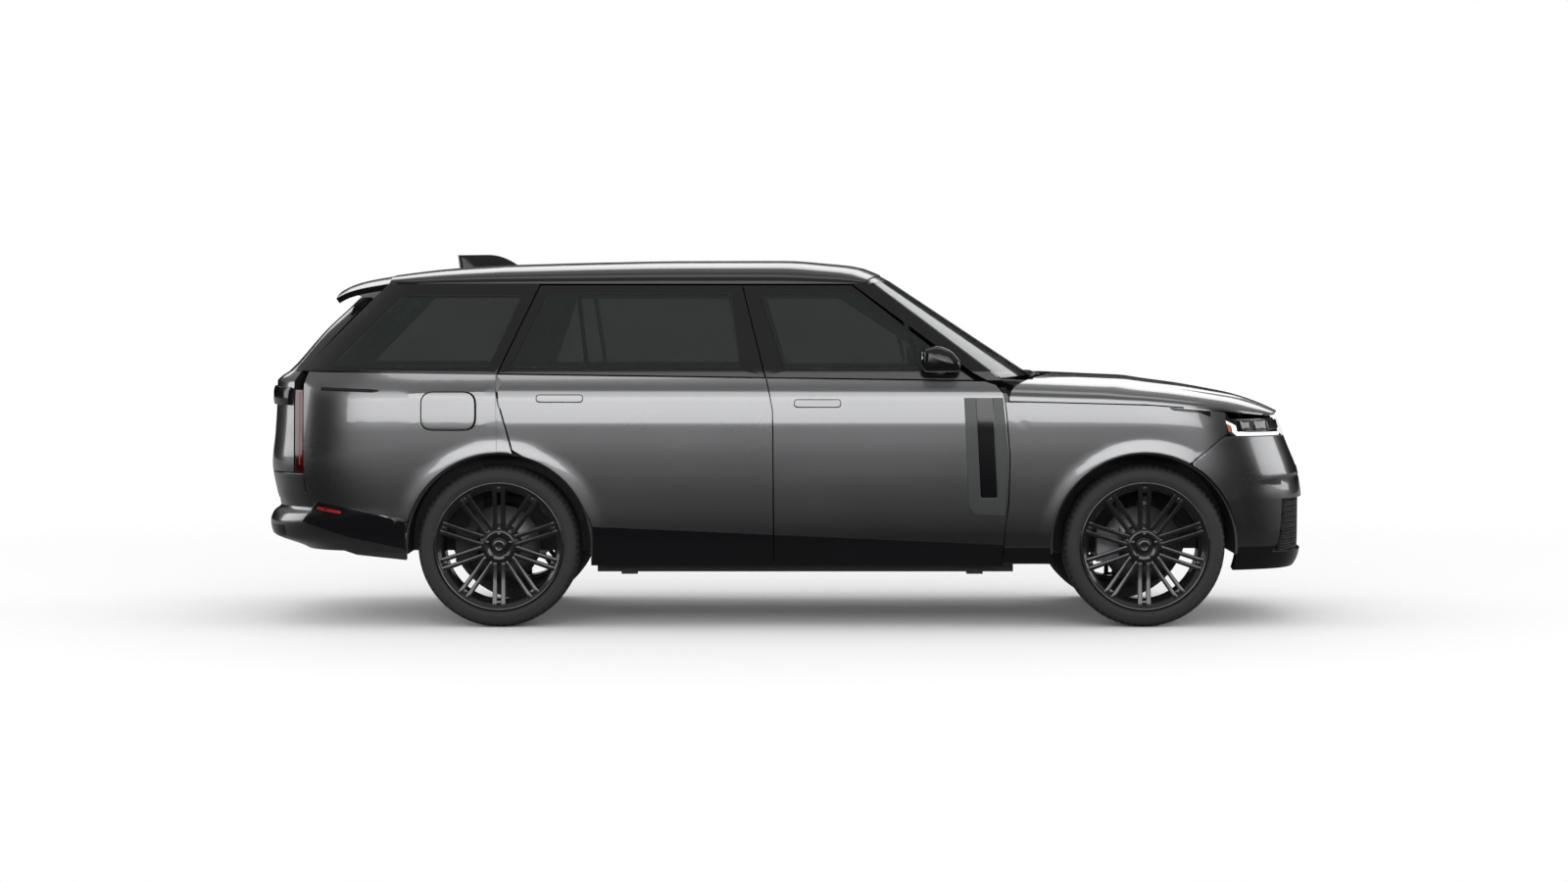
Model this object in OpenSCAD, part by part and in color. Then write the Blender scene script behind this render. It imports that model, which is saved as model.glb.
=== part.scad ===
// Large five-seat sport utility vehicle with side doors, bonnet and split tailgate.
// X points forward, Y to the left, Z up; the origin is on the ground below the middle.

/* [Main sizes] */
// Distance between the front and rear axles
wheelbase = 3197; // [2900:1:3500]
// From the front axle to the nose
front_overhang = 854; // [780:1:960]
// From the rear axle to the back of the bumper
rear_overhang = 1201; // [1050:1:1300]
// Height of the roof's highest line
roof_height = 1820; // [1740:1:1900]
// Half the width over the body sides
half_width = 1000; // [960:1:1040]
// From the middle to a tyre's centre plane
half_track = 846; // [820:1:870]

/* [Wheels] */
// Outer radius of a tyre
tyre_radius = 400; // [380:1:415]
// Width of a tyre
tyre_width = 280; // [250:1:295]
// Radius of the tyre's bead seat
bead_radius = 292; // [270:1:300]
// Wall of the wheel's barrel
rim_wall = 14; // [8:1:20]
// Thickness of the spoked face
face_depth = 34; // [24:1:44]
// How far the spoked face sits in from the tyre's side
face_inset = 12; // [4:1:30]
// Number of spoke pairs
spoke_pairs = 10; // [7:1:12]
// Width over one spoke pair
pair_width = 60; // [48:1:66]
// Width of the slot in a spoke pair
slot_width = 20; // [14:1:24]
// Inner radius of the spoke slots
slot_inner = 96; // [92:1:120]
// Outer radius of the spoke slots
slot_outer = 264; // [230:1:270]
// Inner radius of the openings between the pairs
gap_inner = 124; // [118:1:140]
// Outer radius of the openings between the pairs
gap_outer = 272; // [250:1:276]
// Radius of the hub's centre cap
cap_radius = 31; // [24:1:40]
// Radius of the hub behind the spokes
hub_radius = 78; // [70:1:85]
// Brake disc radius
disc_radius = 195; // [180:1:205]
// Brake disc thickness
disc_depth = 26; // [20:1:32]
// Gap between the brake disc and its pads
pad_gap = 6; // [5:1:8]
// Radius of the stub axle
stub_radius = 26; // [22:1:30]
// Running gap round the stub axle
stub_gap = 0.5; // [0.3:0.1:1]

/* [Body panels] */
// Radius of the wheel arch openings
arch_radius = 466; // [450:1:480]
// Width of the shut lines
shut_gap = 6; // [5:1:8]
// Thickness of a door
door_depth = 66; // [55:1:80]
// Depth of the body frame's face behind the outer skin
frame_inset = 88; // [80:1:100]
// From the outer skin to the cabin's inner wall
side_wall = 200; // [185:1:230]
// Least thickness of the body frame
frame_wall = 50; // [40:1:60]
// Thickness of bonnet and roof
lid_depth = 26; // [20:1:34]
// Thickness of the bumper covers
bumper_depth = 60; // [40:1:70]
// Thickness of fenders and tailgate
panel_depth = 54; // [40:1:60]
// Thickness of the panes
glass_depth = 6; // [4:1:8]
// How far the side panes lie behind the skin
glass_inset = 4; // [2:1:8]
// Gap round each pane
glass_gap = 0.4; // [0.3:0.1:1]
// Small gap between bolted pieces
seat_gap = 0.3; // [0.2:0.1:0.5]
// Width of the windscreen pillar beside the screen
pillar_width = 44; // [36:1:60]
// Wall of the wheel arch liners
liner_wall = 12; // [8:1:14]
// Room inside a front tyre for steering
steer_room = 220; // [210:1:240]
// Room inside a rear tyre
wheel_room = 66; // [50:1:80]
// Gap between a liner's outer end and the body skin
liner_reach = 70; // [60:1:90]
// Draw-in of a door's inner edges
hem = 14; // [10:1:18]
// Draw-in of a panel's inner edge beside a piece that wraps the end
end_hem = 104; // [98:1:106]
// Height of a door hinge leaf
hinge_size = 40; // [30:1:50]
// How far the roof's front edge sweeps back at the sides
roof_bow = 92; // [80:1:100]
// From the middle to a tailgate hinge block
gate_hinge_y = 300; // [260:1:340]
// Least height of the bonnet's inner skin over its edge
lid_edge = 6; // [4:1:8]
// Height of the cowl panel
cowl_depth = 30; // [24:1:36]
// Bumper skin that the wheel arches cut away
arch_spare = 30; // [20:1:40]
// Thickness of the lower tailgate
drop_depth = 30; // [24:1:36]
// Height of a liner's lower ends over the hub line
liner_foot = 40; // [30:1:60]

/* [Floor and running gear] */
// Height of the underside
floor_bottom = 262; // [245:1:280]
// Thickness of the floor
floor_depth = 40; // [30:1:50]
// Height of the load floor's top
load_floor = 640; // [600:1:680]
// Size of a jacking pad
pad_size = 80; // [60:1:100]
// Height of a jacking pad
pad_height = 12; // [8:1:14]
// From the middle to a jacking pad's centre
pad_half = 740; // [700:1:750]
// Half width of the engine block
engine_half = 330; // [280:1:360]
// Diameter of the suspension arms
arm_width = 50; // [40:1:60]
// Half length of the subframes
subframe_half = 110; // [90:1:130]
// Height of the subframes' top
beam_top = 326; // [315:1:335]
// Height of the subframes' underside
beam_bottom = 270; // [260:1:280]
// Height of the engine block's top
engine_top = 980; // [900:1:985]
// Gap between the arms and the tyre's inner side
knuckle_in = 6; // [4:1:10]
// From the hub down to the lower arm
arm_drop = 110; // [100:1:120]
// From the hub up to the upper arm
arm_lift = 130; // [120:1:140]
// Half width of the subframes
subframe_y = 440; // [400:1:460]
// Radius of a kingpin
kingpin_radius = 9; // [7:1:11]
// Radius of the arm's end round a kingpin
kingpin_arm = 18; // [15:1:22]
// Length of a wheel carrier along the car
upright_width = 110; // [90:1:130]
// Half height of a wheel carrier
upright_half = 170; // [150:1:180]
// Thickness of a wheel carrier
upright_depth = 40; // [30:1:50]
// Length of the stub axle
stub_reach = 90; // [80:1:100]
// Length of a brake caliper over the disc
caliper_span = 110; // [90:1:120]
// Width of a brake caliper
caliper_width = 60; // [50:1:70]
// Wall of a brake caliper
caliper_wall = 22; // [16:1:26]
// Height of a brake caliper
caliper_high = 170; // [140:1:190]

/* [Seats and controls] */
// Width of a front seat
seat_width = 520; // [480:1:560]
// From the middle to a front seat's centre, as a share of the half width
seat_share = 0.38; // [0.34:0.01:0.4]
// Width of the rear bench, as a share of the body's width
bench_share = 0.62; // [0.55:0.01:0.625]
// Radius of the steering wheel
steer_radius = 185; // [175:1:195]
// Radius of the steering wheel's rim section
steer_rim = 15; // [12:1:18]
// Tilt of the steering wheel
steer_tilt = 115; // [105:1:120]
// Width of a steering wheel spoke
spoke_width = 34; // [26:1:42]
// Radius of the steering column
column_radius = 30; // [24:1:36]
// Length of the steering column
column_length = 126; // [110:1:140]

/* [Trim] */
// Width of the aerial fin
fin_width = 56; // [40:1:70]
// Width of a mirror head
mirror_width = 128; // [110:1:140]
// Depth of the lamp bodies
lamp_depth = 90; // [70:1:110]
// Depth of the grille behind the nose
grille_depth = 36; // [28:1:50]
// Number of grille bars
grille_bars = 4; // [3:1:5]
// Number of bars in the lower intake
intake_bars = 2; // [1:1:3]
// Height of a grille bar
grille_bar = 12; // [8:1:16]
// Depth of the fuel filler's pocket
filler_pocket = 34; // [24:1:44]
// Thickness of the fuel flap
flap_depth = 14; // [10:1:18]
// Depth of the grille's back plate
grille_back = 10; // [8:1:14]
// How far the bars stand out in front of the back plate
bar_proud = 18; // [12:1:22]
// How far the tailgate's black bar stands out
bar_stand = 16; // [10:1:20]
// Thickness of the spoiler at its tip
spoiler_tip = 12; // [8:1:16]
// Thickness of the spoiler at its root
spoiler_root = 44; // [36:1:52]
// Fall of the spoiler's top towards its sides
spoiler_fall = 46; // [36:1:56]

/* [Hidden] */
$fn = 64;
// Overrun of every cut
over = 20;
overall_length = wheelbase + front_overhang + rear_overhang;
cabin_half = half_width - side_wall;
seat_half = seat_share * half_width;
bench_width = 2 * bench_share * half_width;
front_axle_x = overall_length / 2 - front_overhang;
rear_axle_x = front_axle_x - wheelbase;

// Half width of the body section at each height, as shares of roof height and half width
section_shares = [[.14, .885], [.17, .915], [.2, .945], [.224, .965], [.26, .98], [.33, .991], [.42, .998],
    [.5, 1], [.58, .998], [.63, .99], [.652, .978], [.672, .966], [.695, .957], [.78, .9], [.86, .842],
    [.934, .782], [1, .7]];
// Nose line at each height, as shares of roof height and front overhang
nose_shares = [[.14, .93], [.156, .967], [.184, .991], [.2176, 1], [.3467, 1], [.383, .991], [.431, .97],
    [.5, .917], [.5626, .865], [.62, .8]];
// Tail line at each height, as shares of roof height and rear overhang
tail_shares = [[.2, .83], [.212, .863], [.2456, .99], [.28, 1], [.305, .985], [.322, .955], [.36, .97],
    [.44, .99], [.52, .978], [.6, .97], [.668, .968], [.693, .9176], [.807, .765], [.886, .637], [.94,
        .56]];
nose_power = 4;
tail_power = 4.5;
front_round_x = front_axle_x - .43 * front_overhang;
rear_round_x = rear_axle_x - .06 * rear_overhang;

// Shut lines and edges seen from the side, as height shares and stations along the body
front_cut_shares = [[.16, .78], [.269, .7825], [.335, .788], [.462, .79], [.591, .784], [.636, .78],
    [.6685, .766], [.674, .744], [.93, .547]];
split_shares = [[.16, .426], [.587, .424], [.635, .419], [.68, .413], [.69, .409], [.781, .3985],
    [.93, .377]];
rear_cut_shares = [[.16, .03], [.466, .024], [.507, .018], [.656, -.007], [.693, -.005], [.707, .003],
    [.93, .0615]];
quarter_end_shares = [[.28, -.37], [.295, -.385], [.353, -.74], [.36, -.8], [.42, -.81], [.66, -.81],
    [.7, -.79], [.905, -.5], [.93, -.462]];
fender_end_shares = [[.16, 1.27], [.45, 1.27], [.5264, 1.48], [.548, 1.47], [.62, 1.16]];
bonnet_line_shares = [[.78, .6165], [1, .607], [1.2, .6], [1.62, .579], [1.72, .574]];
bonnet_top_shares = [[.78, .69], [.87, .6835], [.97, .6755], [1.1, .6655], [1.31, .652], [1.5, .636],
    [1.6, .6265],
    [1.74, .605], [1.82, .588], [1.87, .576]];
roof_top_shares = [[-.48, .9585], [-.464, .9604], [-.2315, .9786], [.003, .9885], [.1545, .9956], [.282,
    .9995],
    [.4457, 1], [.518, .991], [.5596, .983], [.5896, .9654], [.6074, .951]];
door_top = .93;
roof_edge = .9345;

// Window openings as stations and height shares
front_window_shares = [[.441, .703], [.403, .905], [.549, .905], [.706, .703]];
rear_window_shares = [[.019, .707], [.0715, .905], [.3585, .905], [.373, .707]];
quarter_window_shares = [[-.04, .708], [.034, .9], [-.4, .9], [-.69, .708]];
// Door openings in the body frame as stations and height shares
front_opening_shares = [[.452, .245], [.452, .66], [.412, .9], [.53, .9], [.715, .69], [.73, .66], [.73,
    .245]];
rear_opening_shares = [[.2, .245], [.12, .4], [.06, .52], [.045, .66], [.095, .9], [.353, .9], [.392, .66],
    [.392, .245]];
flap_shares = [[-.09, .535], [-.076, .641], [-.32, .641], [-.32, .535]];

function station_x(s) = s < 0 ? rear_axle_x + s * rear_overhang
    : s < 1 ? rear_axle_x + s * wheelbase : front_axle_x + (s - 1) * front_overhang;
function station_of(x) = x < rear_axle_x ? (x - rear_axle_x) / rear_overhang
    : x < front_axle_x ? (x - rear_axle_x) / wheelbase : 1 + (x - front_axle_x) / front_overhang;
function level(k) = k * roof_height;
function cut_x(shares, z) = station_x(lookup(z / roof_height, shares));
function section(z) = half_width * lookup(z / roof_height, section_shares);
function nose_x(z) = front_axle_x + front_overhang * lookup(z / roof_height, nose_shares);
function tail_x(z) = rear_axle_x - rear_overhang * lookup(z / roof_height, tail_shares);
function taper(u, n) = u <= 0 ? 1 : u >= 1 ? 0 : pow(1 - pow(u, n), 1 / n);
function side_y(x, z) = section(z)
    * taper((x - front_round_x) / (nose_x(z) - front_round_x), nose_power)
    * taper((rear_round_x - x) / (rear_round_x - tail_x(z)), tail_power);
function blend(a, b, t) = a + (b - a) * t;

// A point on the nose or tail surface at an angle round the end, moved in by a depth
function bent(c, n) = sign(c) * pow(abs(c), 2 / n);
function nose_point(a, z, t) = [front_round_x + (nose_x(z) - front_round_x - t) * bent(cos(a), nose_power),
    (section(z) - t) * bent(sin(a), nose_power), z];
function tail_point(a, z, t) = [rear_round_x + (tail_x(z) - rear_round_x + t) * bent(cos(a), tail_power),
    (section(z) - t) * bent(sin(a), tail_power), z];
function nose_angle(x, z) = acos(pow((x - front_round_x) / (nose_x(z) - front_round_x), nose_power / 2));
function tail_angle(x, z) = acos(pow((rear_round_x - x) / (rear_round_x - tail_x(z)), tail_power / 2));
function nose_width_angle(y, z) = asin(pow(y / section(z), nose_power / 2));
function tail_width_angle(y, z) = asin(pow(y / section(z), tail_power / 2));

// Triangles of a closed plate from an outer and an inner grid with equal rows and columns
function flat(rows) = [for (row = rows) for (p = row) p];
function skin_faces(r, c) = [for (i = [0 : r - 2]) for (j = [0 : c - 2]) let (a = i * c + j)
    each [[a, a + c, a + c + 1], [a, a + c + 1, a + 1]]];
function turned(faces, n) = [for (f = faces) [f[0] + n, f[2] + n, f[1] + n]];
function strip(path, n) = [for (k = [0 : len(path) - 2])
    each [[path[k], path[k + 1], path[k + 1] + n], [path[k], path[k + 1] + n, path[k] + n]]];
function border(r, c) = [each [for (j = [0 : c - 1]) j], each [for (i = [1 : r - 1]) i * c + c - 1],
    each [for (j = [1 : c - 1]) r * c - 1 - j], each [for (i = [1 : r - 1]) (r - 1 - i) * c]];
module plate(outer, inner) {
    r = len(outer);
    c = len(outer[0]);
    polyhedron(concat(flat(outer), flat(inner)),
        concat(skin_faces(r, c), turned(skin_faces(r, c), r * c), strip(border(r, c), r * c)));
}

// Draws a left-hand piece on the chosen side
module on_side(left) {
    if (left) children();
    else mirror([0, 1, 0]) children();
}

// A prism across the left half from an outline of stations and height shares
module side_prism(shares, y0, y1) {
    translate([0, y1, 0]) rotate([90, 0, 0]) linear_extrude(height = y1 - y0)
        polygon([for (p = shares) [station_x(p[0]), level(p[1])]]);
}

module arch_hole(x, radius) {
    translate([x, half_width + over, tyre_radius]) rotate([90, 0, 0])
        cylinder(r = radius, h = half_width);
}

// Doors, seen from the side between two shut lines
door_rows = [.166, .195, .224, .28, .36, .45, .54, .6, .636, .652, .672, .695, .75, .82, .88, .93];
function door_row(z, x0, x1, n, t) = [for (j = [0 : n]) let (x = blend(x0, x1, j / n)) [x, side_y(x,
    z) - t, z]];
function door_grid(front, back, g0, g1, n, t, edge) = [for (k = door_rows) let (z = level(k))
    door_row(z, cut_x(front, z) - g0 - edge, cut_x(back, z) + g1 + edge, n, t)];
module front_door() {
    difference() {
        plate(door_grid(front_cut_shares, split_shares, 0, shut_gap / 2, front_door_columns, 0, 0),
            door_grid(front_cut_shares, split_shares, 0, shut_gap / 2, front_door_columns, door_depth,
                hem));
        side_prism(front_window_shares, 0, half_width + over);
    }
}
front_door_columns = 7;
rear_door_columns = 8;
module rear_door() {
    difference() {
        plate(door_grid(split_shares, rear_cut_shares, shut_gap / 2, shut_gap / 2, rear_door_columns, 0, 0),
            door_grid(split_shares, rear_cut_shares, shut_gap / 2, shut_gap / 2, rear_door_columns,
                door_depth,
                hem));
        side_prism(rear_window_shares, 0, half_width + over);
        arch_hole(rear_axle_x, arch_radius);
    }
}
module door_front_left() { color("dimgray") on_side(true) front_door(); }
module door_front_right() { color("dimgray") on_side(false) front_door(); }
module door_rear_left() { color("dimgray") on_side(true) rear_door(); }
module door_rear_right() { color("dimgray") on_side(false) rear_door(); }

// Panes follow the skin inside their window openings
pane_rows = 4;
pane_columns = 5;
function pane_grid(w, t) = [for (i = [0 : pane_rows]) let (k = blend(w[0][1], w[1][1], i / pane_rows),
    z = level(k) + glass_gap * (1 - 2 * i / pane_rows),
    xb = blend(station_x(w[0][0]), station_x(w[1][0]), i / pane_rows) + glass_gap * 1.4,
    xf = blend(station_x(w[3][0]), station_x(w[2][0]), i / pane_rows) - glass_gap * 1.6)
    [for (j = [0 : pane_columns]) let (x = blend(xf, xb, j / pane_columns)) [x, side_y(x, z) - t, z]]];
function rear_pane(w) = [w[3], w[2], w[1], w[0]];
module pane(w) { plate(pane_grid(w, glass_inset), pane_grid(w, glass_inset + glass_depth)); }
module glass_front_left() { color("darkslategray") on_side(true) pane(front_window_shares); }
module glass_front_right() { color("darkslategray") on_side(false) pane(front_window_shares); }
module glass_rear_left() { color("darkslategray") on_side(true) pane(rear_window_shares); }
module glass_rear_right() { color("darkslategray") on_side(false) pane(rear_window_shares); }
module quarter_glass() {
    color("darkslategray") {
        on_side(true) pane(rear_pane(quarter_window_shares));
        on_side(false) pane(rear_pane(quarter_window_shares));
    }
}

// Body side: the door frame set in behind the doors, and the outer quarter behind them
side_rows = [.17, .21, .25, .28, .295, .353, .36, .42, .5, .56, .6, .636, .652, .672, .695, .75, .82,
    .88, .93,
    roof_edge - seat_gap / roof_height];
screen_base_x = station_x(.7817);
screen_base_z = level(.672);
screen_top_x = station_x(.5746);
screen_top_z = level(.9467);
function screen_edge_x(z) = blend(screen_base_x, screen_top_x,
    (z - screen_base_z) / (screen_top_z - screen_base_z));
function pillar_front(z) = z < level(.62) ? station_x(.8) : z < screen_base_z ? station_x(.786)
    : screen_edge_x(z) - screen_slant * glass_depth;
// Depth of the sloping screen along the body, in pane thicknesses
screen_slant = 1.8;
function is_high(z) = z >= screen_base_z;
function side_columns(z) = let (a = cut_x(front_cut_shares, z), b = cut_x(rear_cut_shares, z),
    e = cut_x(quarter_end_shares, z), deep = frame_inset,
    front = is_high(z) ? 0 : panel_depth + 5 * seat_gap, g = is_high(z) ? 2 * shut_gap : shut_gap)
    [[pillar_front(z), front], [a + g, front], [a + g - seat_gap, deep], [blend(a, b, .25), deep],
        [blend(a, b, .5), deep], [blend(a, b, .75), deep],
    [b - shut_gap / 2 + seat_gap, deep], [b - shut_gap / 2, 0], [min(blend(b, e, .2), b - over), 0],
    [blend(b, e, .4), 0], [blend(b, e, .6), 0], [blend(b, e, .8), 0], [e, 0]];
function side_grid() = [for (k = side_rows) let (z = level(k)) [for (c = side_columns(z))
    [c[0], side_y(c[0], z) - c[1], z]]];
function inner_y(x, z) = min(cabin_half, side_y(x, z) - frame_inset - frame_wall);
function side_inner() = [for (k = side_rows) let (z = level(k), cols = side_columns(z)) [for (i = [0
    : len(cols) - 1])
    let (x = cols[i][0] + (i == len(cols) - 1 ? end_hem : 0)) [x, inner_y(x, z), z]]];
module body_side() {
    difference() {
        plate(side_grid(), side_inner());
        side_prism(front_opening_shares, 0, half_width + over);
        side_prism(rear_opening_shares, 0, half_width + over);
        side_prism(quarter_window_shares, 0, half_width + over);
        arch_hole(rear_axle_x, arch_radius);
    }
    for (s = hinge_stations) hinge_leaf(station_x(s));
}
// Hinge leaves on the pillars, reaching to the inner face of each door
hinge_stations = [.755, .399];
hinge_level = .45;
module hinge_leaf(x) {
    y = side_y(x, level(hinge_level)) - door_depth - 2 * seat_gap;
    translate([x - hinge_size / 2, y - hinge_size, level(hinge_level)])
        cube([hinge_size, hinge_size, 2 * hinge_size]);
}
module body_side_left() { color("dimgray") on_side(true) body_side(); }
flap_face = half_width * .95;
module body_side_right() {
    color("dimgray") difference() {
        on_side(false) body_side();
        mirror([0, 1, 0]) difference() {
            side_prism(flap_shares, flap_face - filler_pocket, half_width + over);
            flap_leaf();
        }
    }
}
// The flap's hinge leaf stands on the pocket's floor
flap_leaf_s = -.115;
flap_leaf_level = .588;
module flap_leaf() {
    x = station_x(flap_leaf_s);
    y = side_y(x, level(flap_leaf_level) + hinge_size / 2) - flap_depth - 2 * seat_gap;
    translate([x - hinge_size / 2, flap_face - filler_pocket - over,
        level(flap_leaf_level) - hinge_size / 2])
        cube([hinge_size / 2, y - flap_face + filler_pocket + over, hinge_size]);
}
// The fuel flap closes the pocket in the right-hand quarter
flap_columns = 3;
function flap_grid(t) = [for (i = [0 : flap_columns])
    let (z = blend(level(flap_shares[0][1]) + shut_gap, level(flap_shares[1][1]) - shut_gap,
        i / flap_columns))
    [for (j = [0 : flap_columns]) let (x = blend(station_x(flap_shares[0][0]) - shut_gap,
        station_x(flap_shares[2][0]) + shut_gap, j / flap_columns)) [x, side_y(x, z) - t, z]]];
module fuel_flap() { color("dimgray") on_side(false) plate(flap_grid(0), flap_grid(flap_depth)); }

// Roof and its aerial fin
roof_rows = [-.464, -.3, -.15, 0, .1, .2, .3, .4, .48, .53, .57, .598];
roof_columns = 14;
roof_power = 2.5;
function roof_point(s, j, t) = let (a = 90 - 180 * j / roof_columns, v = bent(sin(a), roof_power),
    w = bent(abs(cos(a)), roof_power),
        f = (s - roof_rows[0]) / (roof_rows[len(roof_rows) - 1] - roof_rows[0]),
    xm = station_x(s), x = xm - roof_bow * v * v * pow(f, 3), e = level(roof_edge),
    top = level(lookup(s, roof_top_shares)), y = side_y(x, e) - t)
    [x, y * v, e + (top - e - t) * w];
function roof_grid(t) = [for (s = roof_rows) [for (j = [0 : roof_columns]) roof_point(s, j, t)]];
// Hinge blocks below the roof's rear edge carry the tailgate
gate_hinge_low = .9375;
gate_hinge_high = .9495;
module roof_panel() {
    color("black") {
        plate(roof_grid(0), roof_grid(lid_depth));
        for (side = [-1, 1]) translate([station_x(spoiler_rows[len(spoiler_rows) - 1]) + seat_gap,
            side * gate_hinge_y - hinge_size, level(gate_hinge_low)])
            cube([hinge_size, 2 * hinge_size, level(gate_hinge_high) - level(gate_hinge_low)]);
    }
}
fin_shares = [[-.227, .9795], [-.226, 1.019], [-.12, 1.0215], [-.04, 1.019], [.005, 1.006], [.021, .9905]];
module roof_fin() {
    color("black") translate([0, fin_width / 2, 0]) rotate([90, 0, 0]) linear_extrude(height = fin_width)
        polygon([for (p = fin_shares) [station_x(p[0]), level(p[1])]]);
}

// Fender between the front door, the bonnet line and the bumper cut
fender_rows = 12;
fender_columns = 10;
function bonnet_line(x) = level(lookup(station_of(x), bonnet_line_shares));
function fender_point(i, j, t, hem) = let (u = i / fender_rows, zb = level(.17),
    za = blend(zb, bonnet_line(cut_x(front_cut_shares, level(.6))) - shut_gap, u),
    ze = blend(zb, level(.5715), u), xa = cut_x(front_cut_shares, za) + shut_gap,
        xe = cut_x(fender_end_shares, ze) - hem,
    x = blend(xe, xa, 1 - j / fender_columns), z = blend(ze, za, 1 - j / fender_columns),
    top = blend(za, ze, j / fender_columns)) [x, side_y(x, z) - t, top];
function fender_grid(t, hem) = [for (i = [0 : fender_rows]) [for (j = [0 : fender_columns])
    fender_point(i, fender_columns - j, t, hem)]];
module fender() {
    difference() {
        plate(fender_grid(0, 0), fender_grid(panel_depth, end_hem));
        arch_hole(front_axle_x, arch_radius);
    }
}
module fender_left() { color("dimgray") on_side(true) fender(); }
module fender_right() { color("dimgray") on_side(false) fender(); }

// Bonnet, a shell folded down over both fenders
bonnet_rows = [0, .12, .26, .4, .54, .68, .8, .88, .94, 1];
bonnet_columns = 16;
bonnet_power = 3;
bonnet_back_x = station_x(.79);
bonnet_mid_x = station_x(.874);
bonnet_corner = .79;
function bonnet_nose(f) = front_round_x + (nose_x(level(.578)) - front_round_x)
    * pow(1 - pow(bonnet_corner * f, nose_power), 1 / nose_power);
function bonnet_point(u, j, t) = let (a = 90 - 180 * j / bonnet_columns, v = bent(sin(a), bonnet_power),
    w = bent(abs(cos(a)), bonnet_power), f = abs(v),
    back = blend(bonnet_mid_x, bonnet_back_x, f * f), x = blend(back, bonnet_nose(f), u),
    xs = blend(bonnet_back_x, bonnet_nose(1), u), xm = blend(bonnet_mid_x, bonnet_nose(0), u),
    e = bonnet_line(xs), top = level(lookup(station_of(xm), bonnet_top_shares)), y = side_y(xs, e) - t)
    [x, y * v, e + max(top - e - t, lid_edge) * w];
function bonnet_grid(t) = [for (u = bonnet_rows) [for (j = [0 : bonnet_columns]) bonnet_point(u, j, t)]];
module bonnet() { color("dimgray") plate(bonnet_grid(0), bonnet_grid(lid_depth)); }

// Windscreen and the cowl below it
screen_rows = 6;
screen_columns = 10;
screen_mid_base_x = station_x(.842);
screen_mid_base_z = level(.677);
screen_mid_top_x = station_x(.6074);
screen_mid_top_z = level(.9495);
// Lower and upper ends of the visible screen
screen_low = .02;
screen_high = .97;
function screen_point(i, j, t) = let (u = blend(screen_low, screen_high, i / screen_rows),
    v = 1 - 2 * j / screen_columns,
    xe = blend(screen_base_x, screen_top_x, u), ze = blend(screen_base_z, screen_top_z, u),
    xm = blend(screen_mid_base_x, screen_mid_top_x, u), zm = blend(screen_mid_base_z, screen_mid_top_z, u),
    y = side_y(xe, ze) - pillar_width) [blend(xm, xe, v * v) - .56 * t, y * v, blend(zm, ze,
        v * v) - .83 * t];
function screen_grid(t) = [for (i = [0 : screen_rows]) [for (j = [0 : screen_columns])
    screen_point(screen_rows - i, j, t)]];
module windscreen() { color("darkslategray") plate(screen_grid(0), screen_grid(glass_depth)); }
cowl_top = level(.655);
cowl_half = .774 * half_width;
module cowl() {
    color("black") translate([station_x(.8), -cowl_half, cowl_top - cowl_depth])
        cube([station_x(.855) - station_x(.8), 2 * cowl_half, cowl_depth]);
}

// Nose pieces wrap round the front between two angles
nose_columns = 20;
function nose_row(z, a, n, t) = [for (j = [0 : n]) nose_point(-a + 2 * a * j / n, z, t)];
bumper_rows = [.15, .165, .2, .24, .3, .3467, .383, .431, .46, .49, .5175];
function arch_reach(z) = sqrt(max(arch_radius * arch_radius - (z - tyre_radius) * (z - tyre_radius), 0));
function front_end_x(z) = max(front_axle_x + arch_reach(z) - arch_spare,
    cut_x(fender_end_shares, z) + shut_gap + 6 * seat_gap);
function front_grid(t) = [for (k = bumper_rows) let (z = level(k))
    nose_row(z, nose_angle(front_end_x(z), z), nose_columns, t)];
grille_shares = [[.62, .5175], [.6, .47], [.56, .43]];
intake_low = .2;
intake_high = .345;
intake_half = .8;
module front_bumper() {
    color("dimgray") difference() {
        plate(front_grid(0), front_grid(bumper_depth));
        for (left = [true, false]) on_side(left) arch_hole(front_axle_x, arch_radius);
        nose_prism([for (s = [1, -1]) for (p = s > 0 ? grille_shares : turned_list(grille_shares))
            [s * p[0] * half_width, level(p[1]) + (p[1] > bumper_rows[len(bumper_rows) - 2] ? over : 0)]]);
        nose_prism([for (p = [[-1, 0], [-1, 1], [1, 1], [1, 0]])
            [p[0] * intake_half * half_width, level(blend(intake_low, intake_high, p[1]))]]);
    }
}
function turned_list(list) = [for (i = [len(list) - 1 : -1 : 0]) list[i]];
module nose_prism(points) {
    translate([front_axle_x, 0, 0]) rotate([90, 0, 90]) linear_extrude(height = front_overhang + over)
        polygon(points);
}
grille_low = .43;
grille_high = .5685;
grille_half_shares = [[grille_low, .556], [grille_high, .585]];
intake_half_shares = [[intake_low, intake_half - .012], [intake_high, intake_half - .012]];
module grille() {
    color("black") {
        nose_bars(grille_low, grille_high, grille_half_shares, grille_bars);
        nose_bars(intake_low, intake_high, intake_half_shares, intake_bars);
    }
}
grille_columns = 12;
function bar_grid(z0, z1, halves, t) = [for (z = [z0, z1])
    nose_row(z, nose_width_angle(half_width * lookup(z / roof_height, halves), z), grille_columns, t)];
module nose_bars(low, high, halves, count) {
    z0 = level(low) + seat_gap;
    z1 = level(high) - seat_gap;
    plate(bar_grid(z0, z1, halves, grille_depth), bar_grid(z0, z1, halves, grille_depth + grille_back));
    for (i = [1 : count]) let (z = blend(z0, z1, i / (count + 1)))
        plate(bar_grid(z - grille_bar / 2, z + grille_bar / 2, halves, grille_depth - bar_proud),
            bar_grid(z - grille_bar / 2, z + grille_bar / 2, halves, grille_depth + grille_back / 2));
}

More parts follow.
